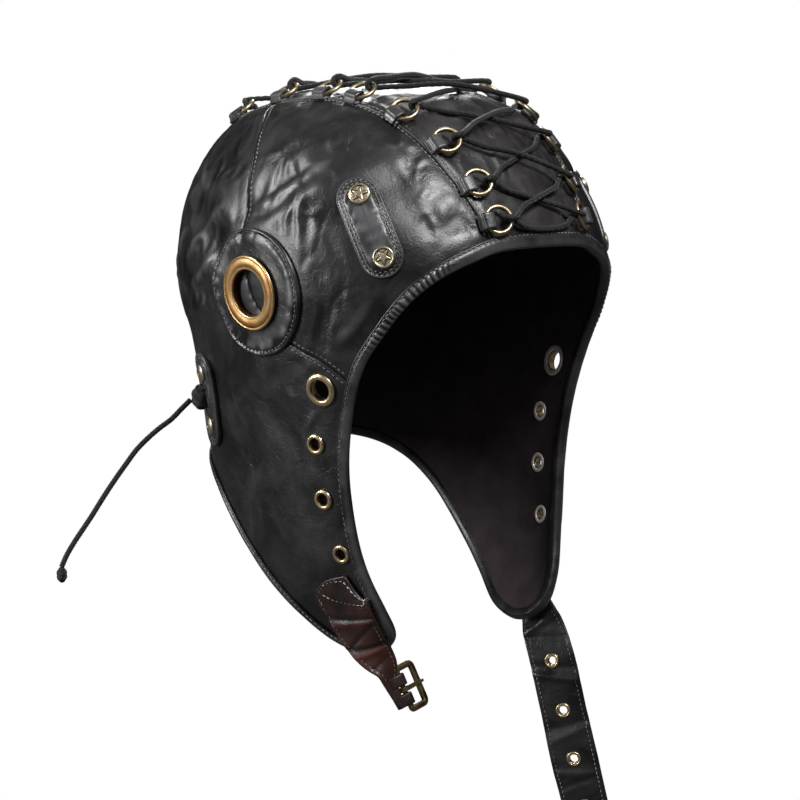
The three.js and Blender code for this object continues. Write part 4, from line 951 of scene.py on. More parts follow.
def sewn_rings(top, insets, wanted, pitch, over):
    """Rows of stitches round a patch, at the wanted distances from its edge."""
    rows = []
    for inset in wanted:
        ring = top[np.argmin(np.abs(insets - inset))]
        places, _ = even_steps(np.vstack([ring, ring[:1]]), pitch)
        ups = form_normal(onto_form(places, 3))
        rows.append([column[:-1] for column in (places + ups * over, ups, ways_along(places))])
    return rows


def turned(section, sides):
    """A turned body whose section of radius and height closes on itself, standing on Z."""
    angle = full_turn(sides)
    radius, height = np.asarray(section, float).T[..., None]
    return lofted(np.stack([radius * np.cos(angle), radius * np.sin(angle), height + 0 * angle], -1), ring=True)


def rounded(corners, step):
    """A closed section through the corners, rounded off and drawn in small steps."""
    line = np.asarray(corners, float)
    for part in (0.28, 0.25):
        after = np.roll(line, -1, axis=0)
        line = np.stack([line * (1 - part) + after * part, line * part + after * (1 - part)], 1).reshape(-1, 2)
    return even_steps(np.vstack([line, line[:1]]), step)[0][:-1]


# The patina that all metals share: bright where it stands out, stained where it is tarnished, and darkened where
# shade is painted inside a barrel.
patina, given, put = new_group("metal_patina", {
    "Position": "Vector", "Mark": "Float", "Stain Scale": "Float", "Dirt": "Float", "Bright": "Color",
    "Dark": "Color", "Gloss": "Float"}, EFFECT)
stain = noise(patina, given["Position"], given["Stain Scale"], 6.0, 0.65)
total = calc(patina, "ADD", spread(patina, stain, 0.42, 0.75, 0.0, given["Dirt"]), given["Mark"], clamp=True)
fill(patina, put, {
    "Color": blend(patina, total, given["Bright"], given["Dark"]),
    "Roughness": calc(patina, "MULTIPLY_ADD", total, 0.3, given["Gloss"]),
    "Height": noise(patina, given["Position"], 900.0, 3.0, distortion=2.0)})


def brass(name, bright, dark, gloss, dirt, stains=240.0, metal=1.0):
    """Aged metal; the piece's tarnish attribute shows where it is dull: tarnish, and painted shade inside the
    grommets' and eyelets' barrels.
    """
    values = {"Stain Scale": stains, "Dirt": dirt, "Bright": colour(*bright), "Dark": colour(*dark), "Gloss": gloss}
    return finish_of(name, patina, values, 0.25, 0.1, "tarnish", Metallic=metal)


patch_black = leather("patch_leather", (12, 12, 13), (112, 112, 115), 0.31, 0.16, 0.12, 4.5)
grommet_brass = brass("grommet_brass", (236, 204, 146), (132, 74, 24), 0.27, 0.35)
insets = np.concatenate([EAR_PROFILE[:9, 0], np.arange(3.7, 17.1, 0.7)])
deep, angle = insets[:, None], full_turn(EAR_COUNT)
ring, ring_faces = turned(rounded(GROMMET_SECTION, 0.3), 96)
reach, high = np.hypot(ring[:, 0], ring[:, 1]), ring[:, 2]
# Darker on the inner barrel wall below the lip: tarnish, and painted shade in the hole.
stain_and_shade = (0.55 + 0.6 * (high < 0.9) * (reach < 10.5) + 0.3 * bell(reach, 0.3, 15.0)
           + 0.25 * soft_noise(ring, 5, 105))
bright = ramp(reach, 15.2, 15.4) + bell(reach, 0.4, 10.5) * (high > 1)
ear_rows = []
for side, hand in hands.items():
    centre = from_side(side, EAR_Y, EAR_Z)
    axes = standing(centre)
    flat = (EAR_RADIUS - deep)[..., None] * np.stack([np.cos(angle), np.sin(angle)], -1)
    spots = np.stack([9 * np.cos(angle), 9 * np.sin(angle), np.full(EAR_COUNT, side)], 1)
    radial = 0.5 - 1.8 * np.abs(soft_noise(spots, 1.9, 101)) + 0.6 * soft_noise(spots, 1.1, 102)
    lift = (np.interp(deep, *EAR_PROFILE.T) + 0.62 * radial * bell(deep, 2.3, 3.6)
            + 0.35 * soft_noise(spots, 4.5, 103) * ramp(deep, 2.4, 5.4) * ramp(deep, 13.5, 8.5)
            - 0.12 * np.cos(EAR_COUNT * angle * 0.32) * bell(deep, 0.8, 2.0))
    # Lighter on the raised crests near the rim: partly wear, partly a painted highlight on the creases.
    wear_and_highlight = clamped((lift - 1.75) * 1.6) * clamped(deep)
    top = laid_patch(f"ear_disc_{hand}", centre, axes, flat, lift, wear_and_highlight, True, f"ear_patch_{hand}")
    ear_rows += sewn_rings(top, insets, [2.0], 2.3, 0.12)
    fixed(make_piece(f"ear_grommet_ring_{hand}", over_form(centre, PATCH_FACE) + ring @ axes, ring_faces,
                     grommet_brass, tarnish=clamped(stain_and_shade - 0.75 * bright)), "aged_brass",
          f"ear_grommet_{hand}")
sewn("ear_disc_stitches", ear_rows, length=1.7)

# Temple patches: a long rounded tab of leather with turned edges, laid over each temple and
# sewn round twice, with two brass snap caps pressed with a plain five-pointed star.
TEMPLE_Y, TEMPLE_Z, TEMPLE_LEAN, TEMPLE_UP = -51.0, -57.0, -2.5, (0, 0.5, 0.87)
TAB_WIDTH, TEMPLE_LENGTH, SNAP_OFFSET = 19.0, 46.0, 14.0
SNAP_RADIUS, SNAP_HEIGHT, SNAP_SIDES, STAR_RADIUS = 4.5, 1.9, 100, 3.3
# A sewn tab's rise from its edge inwards: distance and height.
TAB_PROFILE = np.array([
    (0, 0.34), (0.08, 1.05), (0.35, 1.75), (0.80, 2.05), (1.25, 1.92), (1.60, 1.40), (1.95, 1.55),
    (2.30, 1.95), (2.65, 1.60), (3.00, 1.25), (3.35, 1.50), (4.0, 1.98), (5.2, 2.22), (7.0, 2.30),
    (8.6, 2.32), (9.35, 2.32),
])


def sewn_tab(name, centre, axes, length, seed, stands_for):
    """A padded tab of leather with rounded ends, and its two rows of stitches."""
    radius, half = TAB_WIDTH / 2, (length - TAB_WIDTH) / 2
    turn = np.linspace(0, math.pi, 40)
    rim = np.stack([radius * np.cos(turn), half + radius * np.sin(turn)], 1)
    rim, _ = even_steps(np.vstack([rim, -rim, rim[:1]]), 0.35)
    round_it = 2 * math.pi * radius + 4 * half
    rim = even_steps(rim, round_it / int(round_it / 0.55))[0][:-1]
    spine = np.clip(rim, (0, -half), (0, half))
    insets = np.concatenate([TAB_PROFILE[:11, 0], np.arange(3.9, radius - 0.2, 0.6), [radius - 0.08]])
    deep = insets[:, None]
    flat = spine + (rim - spine) * (1 - deep / radius)[..., None]
    spots = np.insert(flat, 2, float(seed), axis=-1)
    inner = ramp(deep, 3.2, 4.7)
    lift = (np.interp(deep, *TAB_PROFILE.T)
            + (0.42 * soft_noise(spots, 6, seed) + 0.26 * soft_noise(spots, 2.6, seed + 1)) * inner
            + 0.10 * soft_noise(spots, 1.3, seed + 2) * bell(deep, 0.9, 2.3))
    # Lighter on the ridge between the stitch rows and over the padded middle: partly wear, partly a painted highlight
    # on the padded middle.
    wear_and_highlight = (clamped((lift - 1.60) * 1.1) * clamped(1.3 - np.abs(deep - 2.3) * 0.5)
            + 1.3 * clamped(lift - 2.1) * inner)
    top = laid_patch(name, centre, axes, flat, lift, clamped(wear_and_highlight), False, stands_for)
    return sewn_rings(top, insets, (1.6, 3.0), 2.1, 0.10)


def star_depth(x, y, radius):
    """Distance outside a five-pointed star of that outer radius, below zero inside it."""
    x, y = np.abs(x), np.array(y, float)
    for turn in (1, -1):
        way = turn * math.cos(math.pi / 5), -math.sin(math.pi / 5)
        over = 2 * np.maximum(x * way[0] + y * way[1], 0)
        x, y = x - over * way[0], y - over * way[1]
    x, y = np.abs(x), y - radius
    way = 0.40 * np.array([math.sin(math.pi / 5), math.cos(math.pi / 5)]) - (0, 1)
    part = np.clip((x * way[0] + y * way[1]) / (way @ way), 0, radius)
    return np.hypot(x - way[0] * part, y - way[1] * part) * np.sign(y * way[0] - x * way[1])


def snap_cap(radius, height, star):
    """A pressed cap: a rolled rim round a dished face with a raised star."""
    part = np.concatenate([[0.001], np.linspace(0, 0.80, 24)[1:], np.linspace(0.83, 1.0, 9)])[:, None]
    angle = full_turn(SNAP_SIDES)
    x, y = part * radius * np.cos(angle), part * radius * np.sin(angle)
    face = height * (0.74 + 0.10 * np.cos(part * 2.2))
    rim = height * (0.70 + 0.30 * np.sqrt(clamped(1 - ((part - 0.89) / 0.115) ** 2)))
    depth = star_depth(y, x, star)
    top = (np.where(part > 0.79, np.maximum(rim, face * 0.92), face) + 0.26 * clamped(0.5 - depth / 0.35)
           - 0.16 * bell(depth, 0.25, 0.30))
    top = np.where(part > 0.995, 0.2 * height, top)
    tarnish = bell(depth, 0.24, 0.30) * (part < 0.8) + 0.8 * bell(part, 0.03, 0.80)
    loops = np.stack([x, y, top], -1)
    foot = loops[-1:] * (1, 1, 0) - (0, 0, 0.5)
    return *lofted(np.concatenate([loops, foot])), clamped(np.vstack([tarnish, np.full((1, SNAP_SIDES), 0.5)]))


def seated(place, over, spin=0.0, scale=1.0):
    """A fitting's seat on the form: its place, and the ways outwards and along."""
    across, upright, normal = standing(place)
    return over_form(place, over), normal, across * math.cos(spin) + upright * math.sin(spin), scale


snap_brass = brass("snap_brass", (226, 212, 184), (56, 36, 18), 0.30, 0.45)
temple_rows = []
for side, hand in hands.items():
    centre = from_side(side, TEMPLE_Y - side * TEMPLE_LEAN, TEMPLE_Z)
    axes = standing(centre, TEMPLE_UP)
    temple_rows += sewn_tab(f"temple_tab_{hand}", centre, axes, TEMPLE_LENGTH, 111 + side, f"temple_patch_{hand}")
    seats = [seated(from_side(side, *(centre + axes[1] * offset)[1:]), PATCH_FACE + 0.1, spin)
             for offset, spin in ((SNAP_OFFSET, 0.25), (-SNAP_OFFSET, -0.15))]
    fitted(f"temple_snap_caps_{hand}", snap_cap(SNAP_RADIUS, SNAP_HEIGHT, STAR_RADIUS), zip(*seats), snap_brass,
           "aged_brass", [f"temple_snap_{place}_{hand}" for place in ("upper", "lower")])
sewn("temple_tab_stitches", temple_rows, length=1.55)

# Nape patches: the same sewn tab at each side of the nape, with two small domed brass
# studs. The knot of the free cord lies on the right one.
NAPE_TURN, NAPE_Z, NAPE_LENGTH, STUD_OFFSET = math.radians(128), -138.0, 44.0, 12.0
# The stud's section: radius and height.
STUD_SECTION = [(0.3, 1.8), (1.89, 1.746), (3.36, 1.188), (4.2, 0.63), (4.2, -0.3), (2.1, -0.5), (0.3, -0.5)]

section = rounded(STUD_SECTION, 0.4)
section[section[:, 0] < 0.42, 0] = 0.02
points, faces = turned(section, 28)
stud = points, faces, ramp(points[:, 2], 0.6 * STUD_SECTION[0][1], 0) * 0.7
nape_rows = []
for side, hand in hands.items():
    way = [side * math.sin(NAPE_TURN), -math.cos(NAPE_TURN), 0.0]
    centre, *places = [cast([0.0, 0.0, NAPE_Z + offset], way) for offset in (0, STUD_OFFSET, -STUD_OFFSET)]
    nape_rows += sewn_tab(f"nape_tab_{hand}", centre, standing(centre), NAPE_LENGTH, 131 + side,
                          f"nape_patch_{hand}")
    fitted(f"nape_studs_{hand}", stud, zip(*[seated(place, PATCH_FACE + 0.2) for place in places]), snap_brass,
           "aged_brass", [f"nape_stud_{place}_{hand}" for place in ("upper", "lower")])
sewn("nape_tab_stitches", nape_rows, length=1.55)

# Flap eyelets: four rolled brass eyelets down each cheek, the upper one larger, set through
# hide and lining and spread over a plain pale washer on the inside.
THROUGH = LEATHER + SEAM_GAP + LINING


def eyelet(flange, bore, back, rise=1.25):
    """A rolled eyelet standing on the hide, with its barrel down to the back."""
    middle = (flange + bore) / 2
    points, faces = turned(rounded([
        (bore, back), (bore, 0.2), (bore + 0.35, rise * 0.85), (middle - 0.2, rise), (middle + 0.5, rise * 0.95),
        (flange - 0.25, rise * 0.62), (flange, 0.25), (flange - 0.3, 0.06), (bore + EYELET_WALL, 0.06),
        (bore + EYELET_WALL - 0.1, back)], 0.28), 40)
    radius, high = np.hypot(points[:, 0], points[:, 1]), points[:, 2]
    # Darker down inside the barrel as painted shade in the hole; also darker round the bore and at the flange's foot.
    tarnish = (0.3 * ramp(high, 0.4, -1.1) * (radius < bore + EYELET_WALL)
               + 0.7 * ramp(radius, flange - 0.35, flange - 0.05) * ramp(high, 0.5, 0.1)
               + 0.85 * bell(radius, 0.45, bore + 0.1) * (high > 0))
    return points, faces, clamped(tarnish)


def washer(flange, bore, rise=0.75):
    """The flat ring that the eyelet is spread over, drawn with its face downwards."""
    points, faces = turned(rounded([
        (bore + 0.5, 0.1), (flange, 0.1), (flange, -rise * 0.6), (flange - 0.5, -rise), (bore + 0.9, -rise),
        (bore + 0.5, -rise * 0.7)], 0.3), 40)
    return points, faces, 0.35 * ramp(np.hypot(points[:, 0], points[:, 1]), flange - 0.4, flange)


eyelet_brass = brass("eyelet_brass", (238, 216, 172), (92, 58, 26), 0.26, 0.28)
washer_nickel = brass("washer_nickel", (236, 232, 224), (150, 142, 130), 0.32, 0.25, metal=0.35)
for side, hand in hands.items():
    for kind, chosen in (("upper", EYELETS[:1]), ("small", EYELETS[1:])):
        flange, bore = chosen[0][3:]
        places = [from_side(side, *row[1:3]) for row in chosen]
        fronts, backs = [zip(*[seated(place, over, scale=row[3] / flange) for place, row in zip(places, chosen)])
                         for over in (0.05, -THROUGH - 0.2)]
        # The near small eyelets stop at the hide, so the unpunched lining shows in their holes as dark satin standing
        # in for shade.
        dark_backed = kind == "small" and side < 0
        fitted(f"{kind}_eyelets_{hand}", eyelet(flange, bore, -LEATHER if dark_backed else -THROUGH - 0.1), fronts,
               eyelet_brass, "aged_brass", [f"eyelet_{row[0]}_{hand}" for row in chosen])
        if not dark_backed:
            fitted(f"{kind}_eyelet_washers_{hand}", washer(flange, bore), backs, washer_nickel, "aged_brass")

# Crown lacing: eight brass wire rings along each crown seam, each held by a loop of leather
# that is caught in the seam. One round braided cord runs through all of them, crossing over
# the strip from side to side, and is knotted at the back.

# Rings from the forehead backwards: the angle over the crown and the distance from the middle.
RINGS = [(12, 26), (22.5, 28.5), (37, 31.5), (52, 37.5), (69, 40), (83.5, 41), (107, 38.5), (131, 34)]
RING_RADIUS, RING_WIRE, RING_LIFT, RING_TILT = 5.7, 0.95, 3.0, math.radians(14)
LOOP_WIDTH, LOOP_LEATHER = 7.2, 1.05
LACE_RADIUS, LACE_HOOK, LACE_SLANT, LACE_KNOT = 1.25, 2.25, 1.0, 3.2
LACE_LOW, LACE_BAR, FRONT_BAR, BACK_BAR, BAR_HALF = 1.5, 2.4, 2.2, 5.0, 0.48
# Heights of the lace over the strip where it leaves a ring, crosses and comes to the next.
LACE_UNDER, LACE_OVER = (2.6, 1.5, 1.5), (2.6, 4.2, 4.4)
CROSSING = np.array([0.26, 0.38, 0.5, 0.62, 0.74])[:, None]
BAND_PARTS = np.array([0.2, 0.4, 0.6, 0.74, 0.86, 0.94, 0.985, 1])


def ring_frame(side, degrees, lateral):
    """Where a ring lies, and the ways from it over the strip and in its own tilted plane."""
    seat = from_fan(side * lateral, degrees)
    normal = form_normal(seat)
    flat = unit(normal * (side * normal[0]) - (side, 0, 0))
    cosine, sine = math.cos(RING_TILT), math.sin(RING_TILT)
    return {"centre": over_form(seat, RING_LIFT), "flat": flat, "normal": normal, "along": np.cross(normal, flat),
            "inwards": flat * cosine + normal * sine, "outwards": normal * cosine - flat * sine,
            "seam": strip_half(degrees) - lateral, "seed": int(degrees)}


def joined(shells):
    """Several closed shells as the points, faces and wear of one piece."""
    starts = np.cumsum([0, *[len(points) for points, _, _ in shells]])
    faces = [tuple(np.add(face, start)) for start, (_, own, _) in zip(starts, shells) for face in own]
    return np.vstack([shell[0] for shell in shells]), faces, np.concatenate([shell[2] for shell in shells])


def leather_band(line, across, width, thickness, edge, crown=0.0, seed=0, crumple=0.0):
    """A band of leather along a line, with rounded edges: closed points, faces, and a mark that lightens its welted
    edges, partly wear and partly a painted highlight.
    """
    tangents = ways_along(line)
    across = unit(across - tangents * (tangents @ across)[:, None])[:, None]
    outwards = np.cross(tangents, across[:, 0])[:, None]
    parts = np.array([*-BAND_PARTS[::-1], 0, *BAND_PARTS])
    rise = np.clip(1 - ((np.abs(parts) - 0.82) / 0.18).clip(0) ** 2.5, 0.12, 1)[:, None] * thickness / 2
    welt = edge * (bell(np.abs(parts), 0.10, 0.83) - 0.6 * bell(np.abs(parts), 0.08, 0.62))
    half = np.broadcast_to(width, len(line))[:, None, None] / 2
    upper = line[:, None] + across * half * parts[:, None] + outwards * (
        rise + (welt + crown * (1 - parts**2))[:, None])
    uneven = soft_noise(upper, 5, 171 + seed) * crumple
    upper = upper + outwards * uneven[..., None]
    lower = line[:, None] + across * half * parts[::-1, None] - outwards * rise
    # Lighter along the welted edges as a painted highlight with some wear, and on the crumpled rises.
    wear_and_highlight = clamped(welt / max(edge, 1e-6)) * 0.8 + np.clip(uneven * 3, 0, 0.5)
    return *lofted(np.concatenate([upper, lower], 1)), np.concatenate([wear_and_highlight, 0 * wear_and_highlight], 1).ravel()


ring_brass = brass("ring_brass", (206, 190, 156), (78, 60, 38), 0.34, 0.7)
# The loops' light colour shows along their edges as a painted highlight, with some wear.
loop_black = leather("ring_loop_leather", (20, 19, 20), (170, 168, 168), 0.32, 0.2, 0.10, 3.5)
frames = {side: [ring_frame(side, *row) for row in RINGS] for side in hands}
angle = full_turn(12)
points, faces = turned(np.stack([RING_RADIUS + RING_WIRE * np.cos(angle), RING_WIRE * np.sin(angle)], 1), 48)
dirt = clamped(0.45 * soft_noise(points, 4, 151)) + 0.5 * (np.hypot(points[:, 0], points[:, 1]) < 5.1)
wire_x, wire_z = -RING_RADIUS * math.cos(RING_TILT), -RING_RADIUS * math.sin(RING_TILT)
round_wire, level = RING_WIRE + LOOP_LEATHER / 2 + 0.35, -RING_LIFT
nose = [(wire_x + 2.6 + round_wire * 0.6 * math.cos(a), wire_z + math.tan(RING_TILT) * 2.6 + round_wire * math.sin(a))
        for a in np.radians([90, 50, 0, -50, -90])]
for side, hand in hands.items():
    seats = [[ring[way] for ring in frames[side]] for way in ("centre", "outwards", "inwards")]
    fitted(f"lace_rings_{hand}", (points, faces, dirt), (*seats, np.ones(len(RINGS))), ring_brass, "aged_brass",
           [f"lace_ring_{i + 1}_{hand}" for i in range(len(RINGS))])
    shells = []
    for ring in frames[side]:
        start = min(wire_x - 2.9, -ring["seam"] - 0.4)
        path = [(start, level + 0.2), (start + 0.8, level + 0.95), (0.5 * (start + wire_x), level + 2.1),
                (wire_x - 1.2, wire_z + round_wire * 0.92), *nose, (wire_x - 1.3, wire_z - round_wire),
                (start + 0.6, level + 0.3)]
        flat, _ = even_steps(curve_through(path, 8), 0.32)
        shells.append(leather_band(ring["centre"] + flat @ [ring["flat"], ring["normal"]], -ring["along"],
                                   LOOP_WIDTH, LOOP_LEATHER, 0.38, seed=ring["seed"], crumple=0.12))
    shell, shell_faces, wear_and_highlight = joined([*shells, piping[side]])
    fixed(make_piece(f"ring_loops_{hand}", shell, shell_faces, loop_black, rubbed=wear_and_highlight), "black_leather",
          f"lace_tabs_{hand}")


def over_strip(lateral, degrees, height):
    return over_form(from_fan(lateral, degrees), height)


def hooked(ring, downwards, slant):
    """The lace's turn round a ring's inner wire, slanted along the strip from end to end."""
    turns = [ring["centre"] + ring["inwards"] * (RING_RADIUS + LACE_HOOK * math.cos(a))
             + ring["outwards"] * LACE_HOOK * math.sin(a) for a in np.radians([90, 135, 180, 225, 270])]
    turns = turns if downwards else turns[::-1]
    return [turns[0] + ring["along"] * slant, *turns[1:4], turns[4] - ring["along"] * slant]


def crossed(side, start, end, heights):
    """The lace's way over the strip from one ring to the next one across."""
    degrees, lateral = (np.array(start) * (1 - CROSSING) + np.array(end) * (1, -1) * CROSSING).T
    return over_strip(side * lateral, degrees, np.interp(CROSSING[:, 0], CROSSING[::2, 0], heights))


back, front, last = RINGS[-1][0] + BACK_BAR, RINGS[0][0] - FRONT_BAR, len(RINGS) - 1
front_half, back_half = RINGS[0][1] * BAR_HALF, RINGS[-1][1] * BAR_HALF
route = [over_strip(lateral, back, LACE_LOW) for lateral in (LACE_KNOT / 2, back_half)]
for i in range(last, -1, -1):
    side = -1 if i % 2 == 0 else 1
    route += hooked(frames[side][i], i < last, side * LACE_SLANT)
    if i > 0:
        route += [*crossed(side, RINGS[i], RINGS[i - 1], LACE_OVER)]
route += [over_strip(lateral, front, LACE_BAR) for lateral in (-front_half, front_half)]
for i in range(last + 1):
    side = 1 if i % 2 == 0 else -1
    route += hooked(frames[side][i], i == last, -side * LACE_SLANT)
    if i < last:
        route += [*crossed(side, RINGS[i], RINGS[i + 1], LACE_UNDER)]
route += [over_strip(lateral, back, LACE_LOW) for lateral in (-back_half, -LACE_KNOT / 2)]
lace, lace_faces, uv = joined([
    braided_cord(curve_through(route, 8), LACE_RADIUS, 14, 0.55, 3, 3.4, 0.12),
    knot_of(over_strip(0, back, LACE_KNOT), LACE_KNOT * 1.1, LACE_KNOT * 0.95, 0.45)])
fixed(make_piece("braided_crown_lace", lace, lace_faces, cotton, uv), "black_cord", "crown_lace")

# Buckle strap: a strap of dark brown oiled leather, sewn to the right flap tip with a
# pointed end and a crossed box of pale thread. It narrows and turns as it hangs, and is
# folded round the buckle's bar, with a slot for the prong.
HEEL = np.array([-41.0, -43.5, -259.0])
OUT, DOWN = unit([0.983, 0.085, 0.154]), np.array([0.175, -0.38, -0.91])
ALONG = unit(DOWN - OUT * (DOWN @ OUT))
BAR, BAR_GAP, LOOP_WALL, SLOT_HALF = 1.1, 0.3, 1.15, 1.8
STRAP_HALF, STRAP_HOLE, STRAP_STITCH, STRAP_THICKNESS = 7.0, 2.0, 2.0, 1.6
# A strap narrower than this isn't stitched.
LEAST_STITCHED, STRAP_PITCH = 8.0, 2.2
ACROSS_BAR = (0.983, 0.085, 0.154)
# Rows from the top down: how it is given, its place, the way across, and the width.
BUCKLE_STRAP = [
    ("lift", 0.5, -31, -206.9, (0.2, -0.95, 0.25), 1.5), ("lift", 0.6, -28, -216.5, (0.2, -0.95, 0.15), 29),
    ("lift", 1.6, -30.5, -227, (0.25, -0.95, 0.25), 25), ("x", -55.2, -35.8, -238.6, (0.45, -0.8, 0.35), 18),
    ("bar", -6.6, -12.8, 1.5, (0.85, -0.25, 0.3), 12.5), ("bar", -6.2, -5.5, 0.1, ACROSS_BAR, 8.2),
    ("bar", -5.9, 0, 0, ACROSS_BAR, 6.2), ("bar", -5.6, 5.8, 0, ACROSS_BAR, 4.6),
]
# Creases across a strap: place along it, slant, width and height.
STRAP_CREASES = [(21, 0.25, 1.1, -0.55), (23.5, 0.2, 1.4, 0.5), (30, -0.3, 1.0, -0.5), (36, 0.35, 1.2, -0.6),
                 (38.5, 0.3, 1.4, 0.5), (44, -0.1, 1.0, -0.35)]
# Places along the strap and how much lighter brown it is there.
STRAP_LIGHTENING = [14, 34, 42, 60], [0.0, 0.35, 0.45, 0.1]
STITCHED_BOX = np.array([(16.0, -11.0), (9.5, -12.4), (2.2, 0.0), (9.5, 12.4), (16.0, 11.0), (9.5, -12.4)])


def in_buckle(points):
    """From the buckle's own way out, along and up to the hat's frame."""
    return HEEL + points @ np.array([OUT, ALONG, np.cross(ALONG, OUT)])


def over_bar(path, step, per_span, offset=0.0):
    """A smooth path round the bar, in even steps, at its place along the bar."""
    path, _ = even_steps(curve_through(path, per_span), step)
    return path, in_buckle(np.insert(path, 1, offset, axis=1))


def arc(radius, degrees):
    return [(radius * math.cos(a), radius * math.sin(a)) for a in np.radians(degrees)]


def strap_line(rows, side, thickness, per_span=14):
    """Centres, ways across, widths and distances along a strap that starts on the flap."""
    data = []
    for kind, first, y, z, across, width in rows:
        centre, across = np.array([first, y, z], float), np.array(across, float)
        if kind == "lift":
            place = from_side(side, y, z)
            normal = form_normal(place)
            centre, across = over_form(place, first + thickness / 2), across - normal * (across @ normal)
        elif kind == "bar":
            centre = in_buckle(centre)
        data.append([*centre, *unit(across), width])
    line = curve_through(data, per_span, 0)
    length = distances(line[:, :3])
    along = np.linspace(0, length[-1], int(length[-1] / 0.7))
    line = at_places(along, length, line)
    return line[:, :3], unit(line[:, 3:6]), np.interp(along, length[::per_span], np.array(data)[:, 6]), along


def strap(name, run, thickness, creases, seed, finish, slot, stands_for, holes=(), rubbed=None):
    """A flat strap with rounded edges, creases and clean holes; its stitch rows and its directions."""
    centres, across, widths, along = run
    tangents = ways_along(centres)
    across = unit(across - tangents * (across * tangents).sum(1)[:, None])
    outwards = np.cross(tangents, across)
    outwards *= np.sign(outwards[0] @ form_normal(centres[0]))
    parts = np.sin(np.linspace(-1, 1, 31) * np.pi / 2)
    from_edge = (1 - np.abs(parts)) * widths[:, None] / 2
    edge = np.sqrt(np.clip(1 - (1 - from_edge / 1.1).clip(0) ** 2, 0.02, 1))
    groove = 0.22 * bell(from_edge, 0.55, STRAP_STITCH) * (widths[:, None] > LEAST_STITCHED)
    aside = parts * widths[:, None] / 2
    flat = np.stack([along[:, None] + 0 * aside, aside, 0 * aside + seed], -1)
    bend = 0.16 * soft_noise(flat, 6, 181 + seed) + 0.10 * soft_noise(flat, 2.6, 182 + seed)
    for place, slant, width, high in creases:
        bend = bend + high * bell(flat[..., 0], width, place + slant * aside)
    bend = bend * np.clip(from_edge / 1.5, 0.3, 1)
    body = centres[:, None] + across[:, None] * aside[..., None]
    skins = [body + outwards[:, None] * (bend + face * (thickness / 2 * edge - groove))[..., None]
             for face in (1, -1)]
    wear_and_highlight = clamped(bend * 2 if rubbed is None else bend + np.interp(flat[..., 0], *rubbed))
    data = np.concatenate([*skins, body, wear_and_highlight[..., None]], -1).reshape(-1, 10)
    gaps = [np.linalg.norm(data[:, 6:9] - hole, axis=1) - STRAP_HOLE for hole in holes]
    data, faces = cut(np.column_stack([data, *gaps]), grid_faces(*aside.shape), *range(10, 10 + len(gaps)))
    points, shell = walled(data[:, :3], data[:, 3:6], faces)
    fixed(make_piece(name, points, shell, finish, rubbed=np.outer([1, 0], data[:, 9])), slot, stands_for)
    seams, wide = [], widths > LEAST_STITCHED
    for hand in hands:
        column = np.argmin(np.abs(from_edge[:, ::hand][:, :15] - STRAP_STITCH), axis=1)[:, None]
        bent = np.take_along_axis(bend[:, ::hand], column, 1)
        for face in (-1, 1):
            row = centres - across * (hand * (widths / 2 - STRAP_STITCH))[:, None] \
                + outwards * (bent + face * (thickness / 2 - 0.06))
            places, _ = even_steps(row[wide], STRAP_PITCH)
            ups = outwards[wide][np.linspace(0, wide.sum() - 1, len(places)).astype(int)] * face
            seams.append((places[1:-1], ups[1:-1], ways_along(places)[1:-1]))
    return seams, across, outwards


brown = leather("brown_oiled_leather", (22, 17, 15), (92, 44, 33), 0.38, 0.2, 0.14, 5.0, 0.8, 1.3)
pale_thread = new_thread("pale_thread", 160.0, 0.42, 0.6, (70, 58, 52), (206, 202, 194))
run = strap_line(BUCKLE_STRAP, -1, STRAP_THICKNESS)
centres, _, widths, along = run
strap_rows, across, outwards = strap("buckle_strap_leather", run, STRAP_THICKNESS, STRAP_CREASES, 3, brown,
                                     "brown_leather", "buckle_strap", rubbed=STRAP_LIGHTENING)
top_rows = []
for start, end in zip(STITCHED_BOX, STITCHED_BOX[1:]):
    steps = max(int(math.dist(start, end) / 2.1), 2)
    at, aside = (start + (end - start) * ((np.arange(steps) + 0.5) / steps)[:, None]).T
    half = np.interp(at, along, widths) / 2 - 1.4
    places, sideways, ups = [at_places(at, along, values) for values in (centres, across, outwards)]
    places = places + sideways * np.clip(aside, -half, half)[:, None] + ups * 0.86
    top_rows.append((places, unit(ups), ways_along(places)))
sewn("buckle_strap_crossed_stitches", top_rows, length=1.7, thickness=0.5, yarn=pale_thread)
sewn("buckle_strap_edge_stitches", strap_rows, length=1.5, thickness=0.36)

fold = [(-7.0, 0.62), (-5.0, 0.66), (-3.2, 0.95), *arc(BAR + BAR_GAP + LOOP_WALL / 2, np.arange(128, -129, -16)),
        (-3.2, -0.95), (-5.0, -0.66), (-7.0, -0.62)]
width = STRAP_HALF - SLOT_HALF
points, faces, wear_and_highlight = joined([
    leather_band(over_bar(fold, 0.3, 5, part * (SLOT_HALF + width / 2))[1], ALONG, width, LOOP_WALL, 0.06,
                 seed=5 + part, crumple=0.12) for part in (-1, 1)])
fixed(make_piece("buckle_strap_fold", points, faces, brown, rubbed=wear_and_highlight * 0.4), "brown_leather")

# Buckle and prong: a cast frame of dark antique brass, worn bright along its edges, that
# swings on the strap's fold. The prong is bent round the same bar and rests on the far side.
BUCKLE_DEPTH, BUCKLE_LENGTH, CORNER, FRAME_SIDES = 9.5, 9.3, 1.9, 20
# Half the frame's width and how much less it is at the bar, half its height, and squareness.
FRAME_HALF, BAR_LESS, FRAME_HIGH, SQUARED = 1.42, 0.40, 1.05, 0.62
PRONG_EYE, PRONG_LENGTH, PRONG_WALL = 1.95, 11.0, 1.05

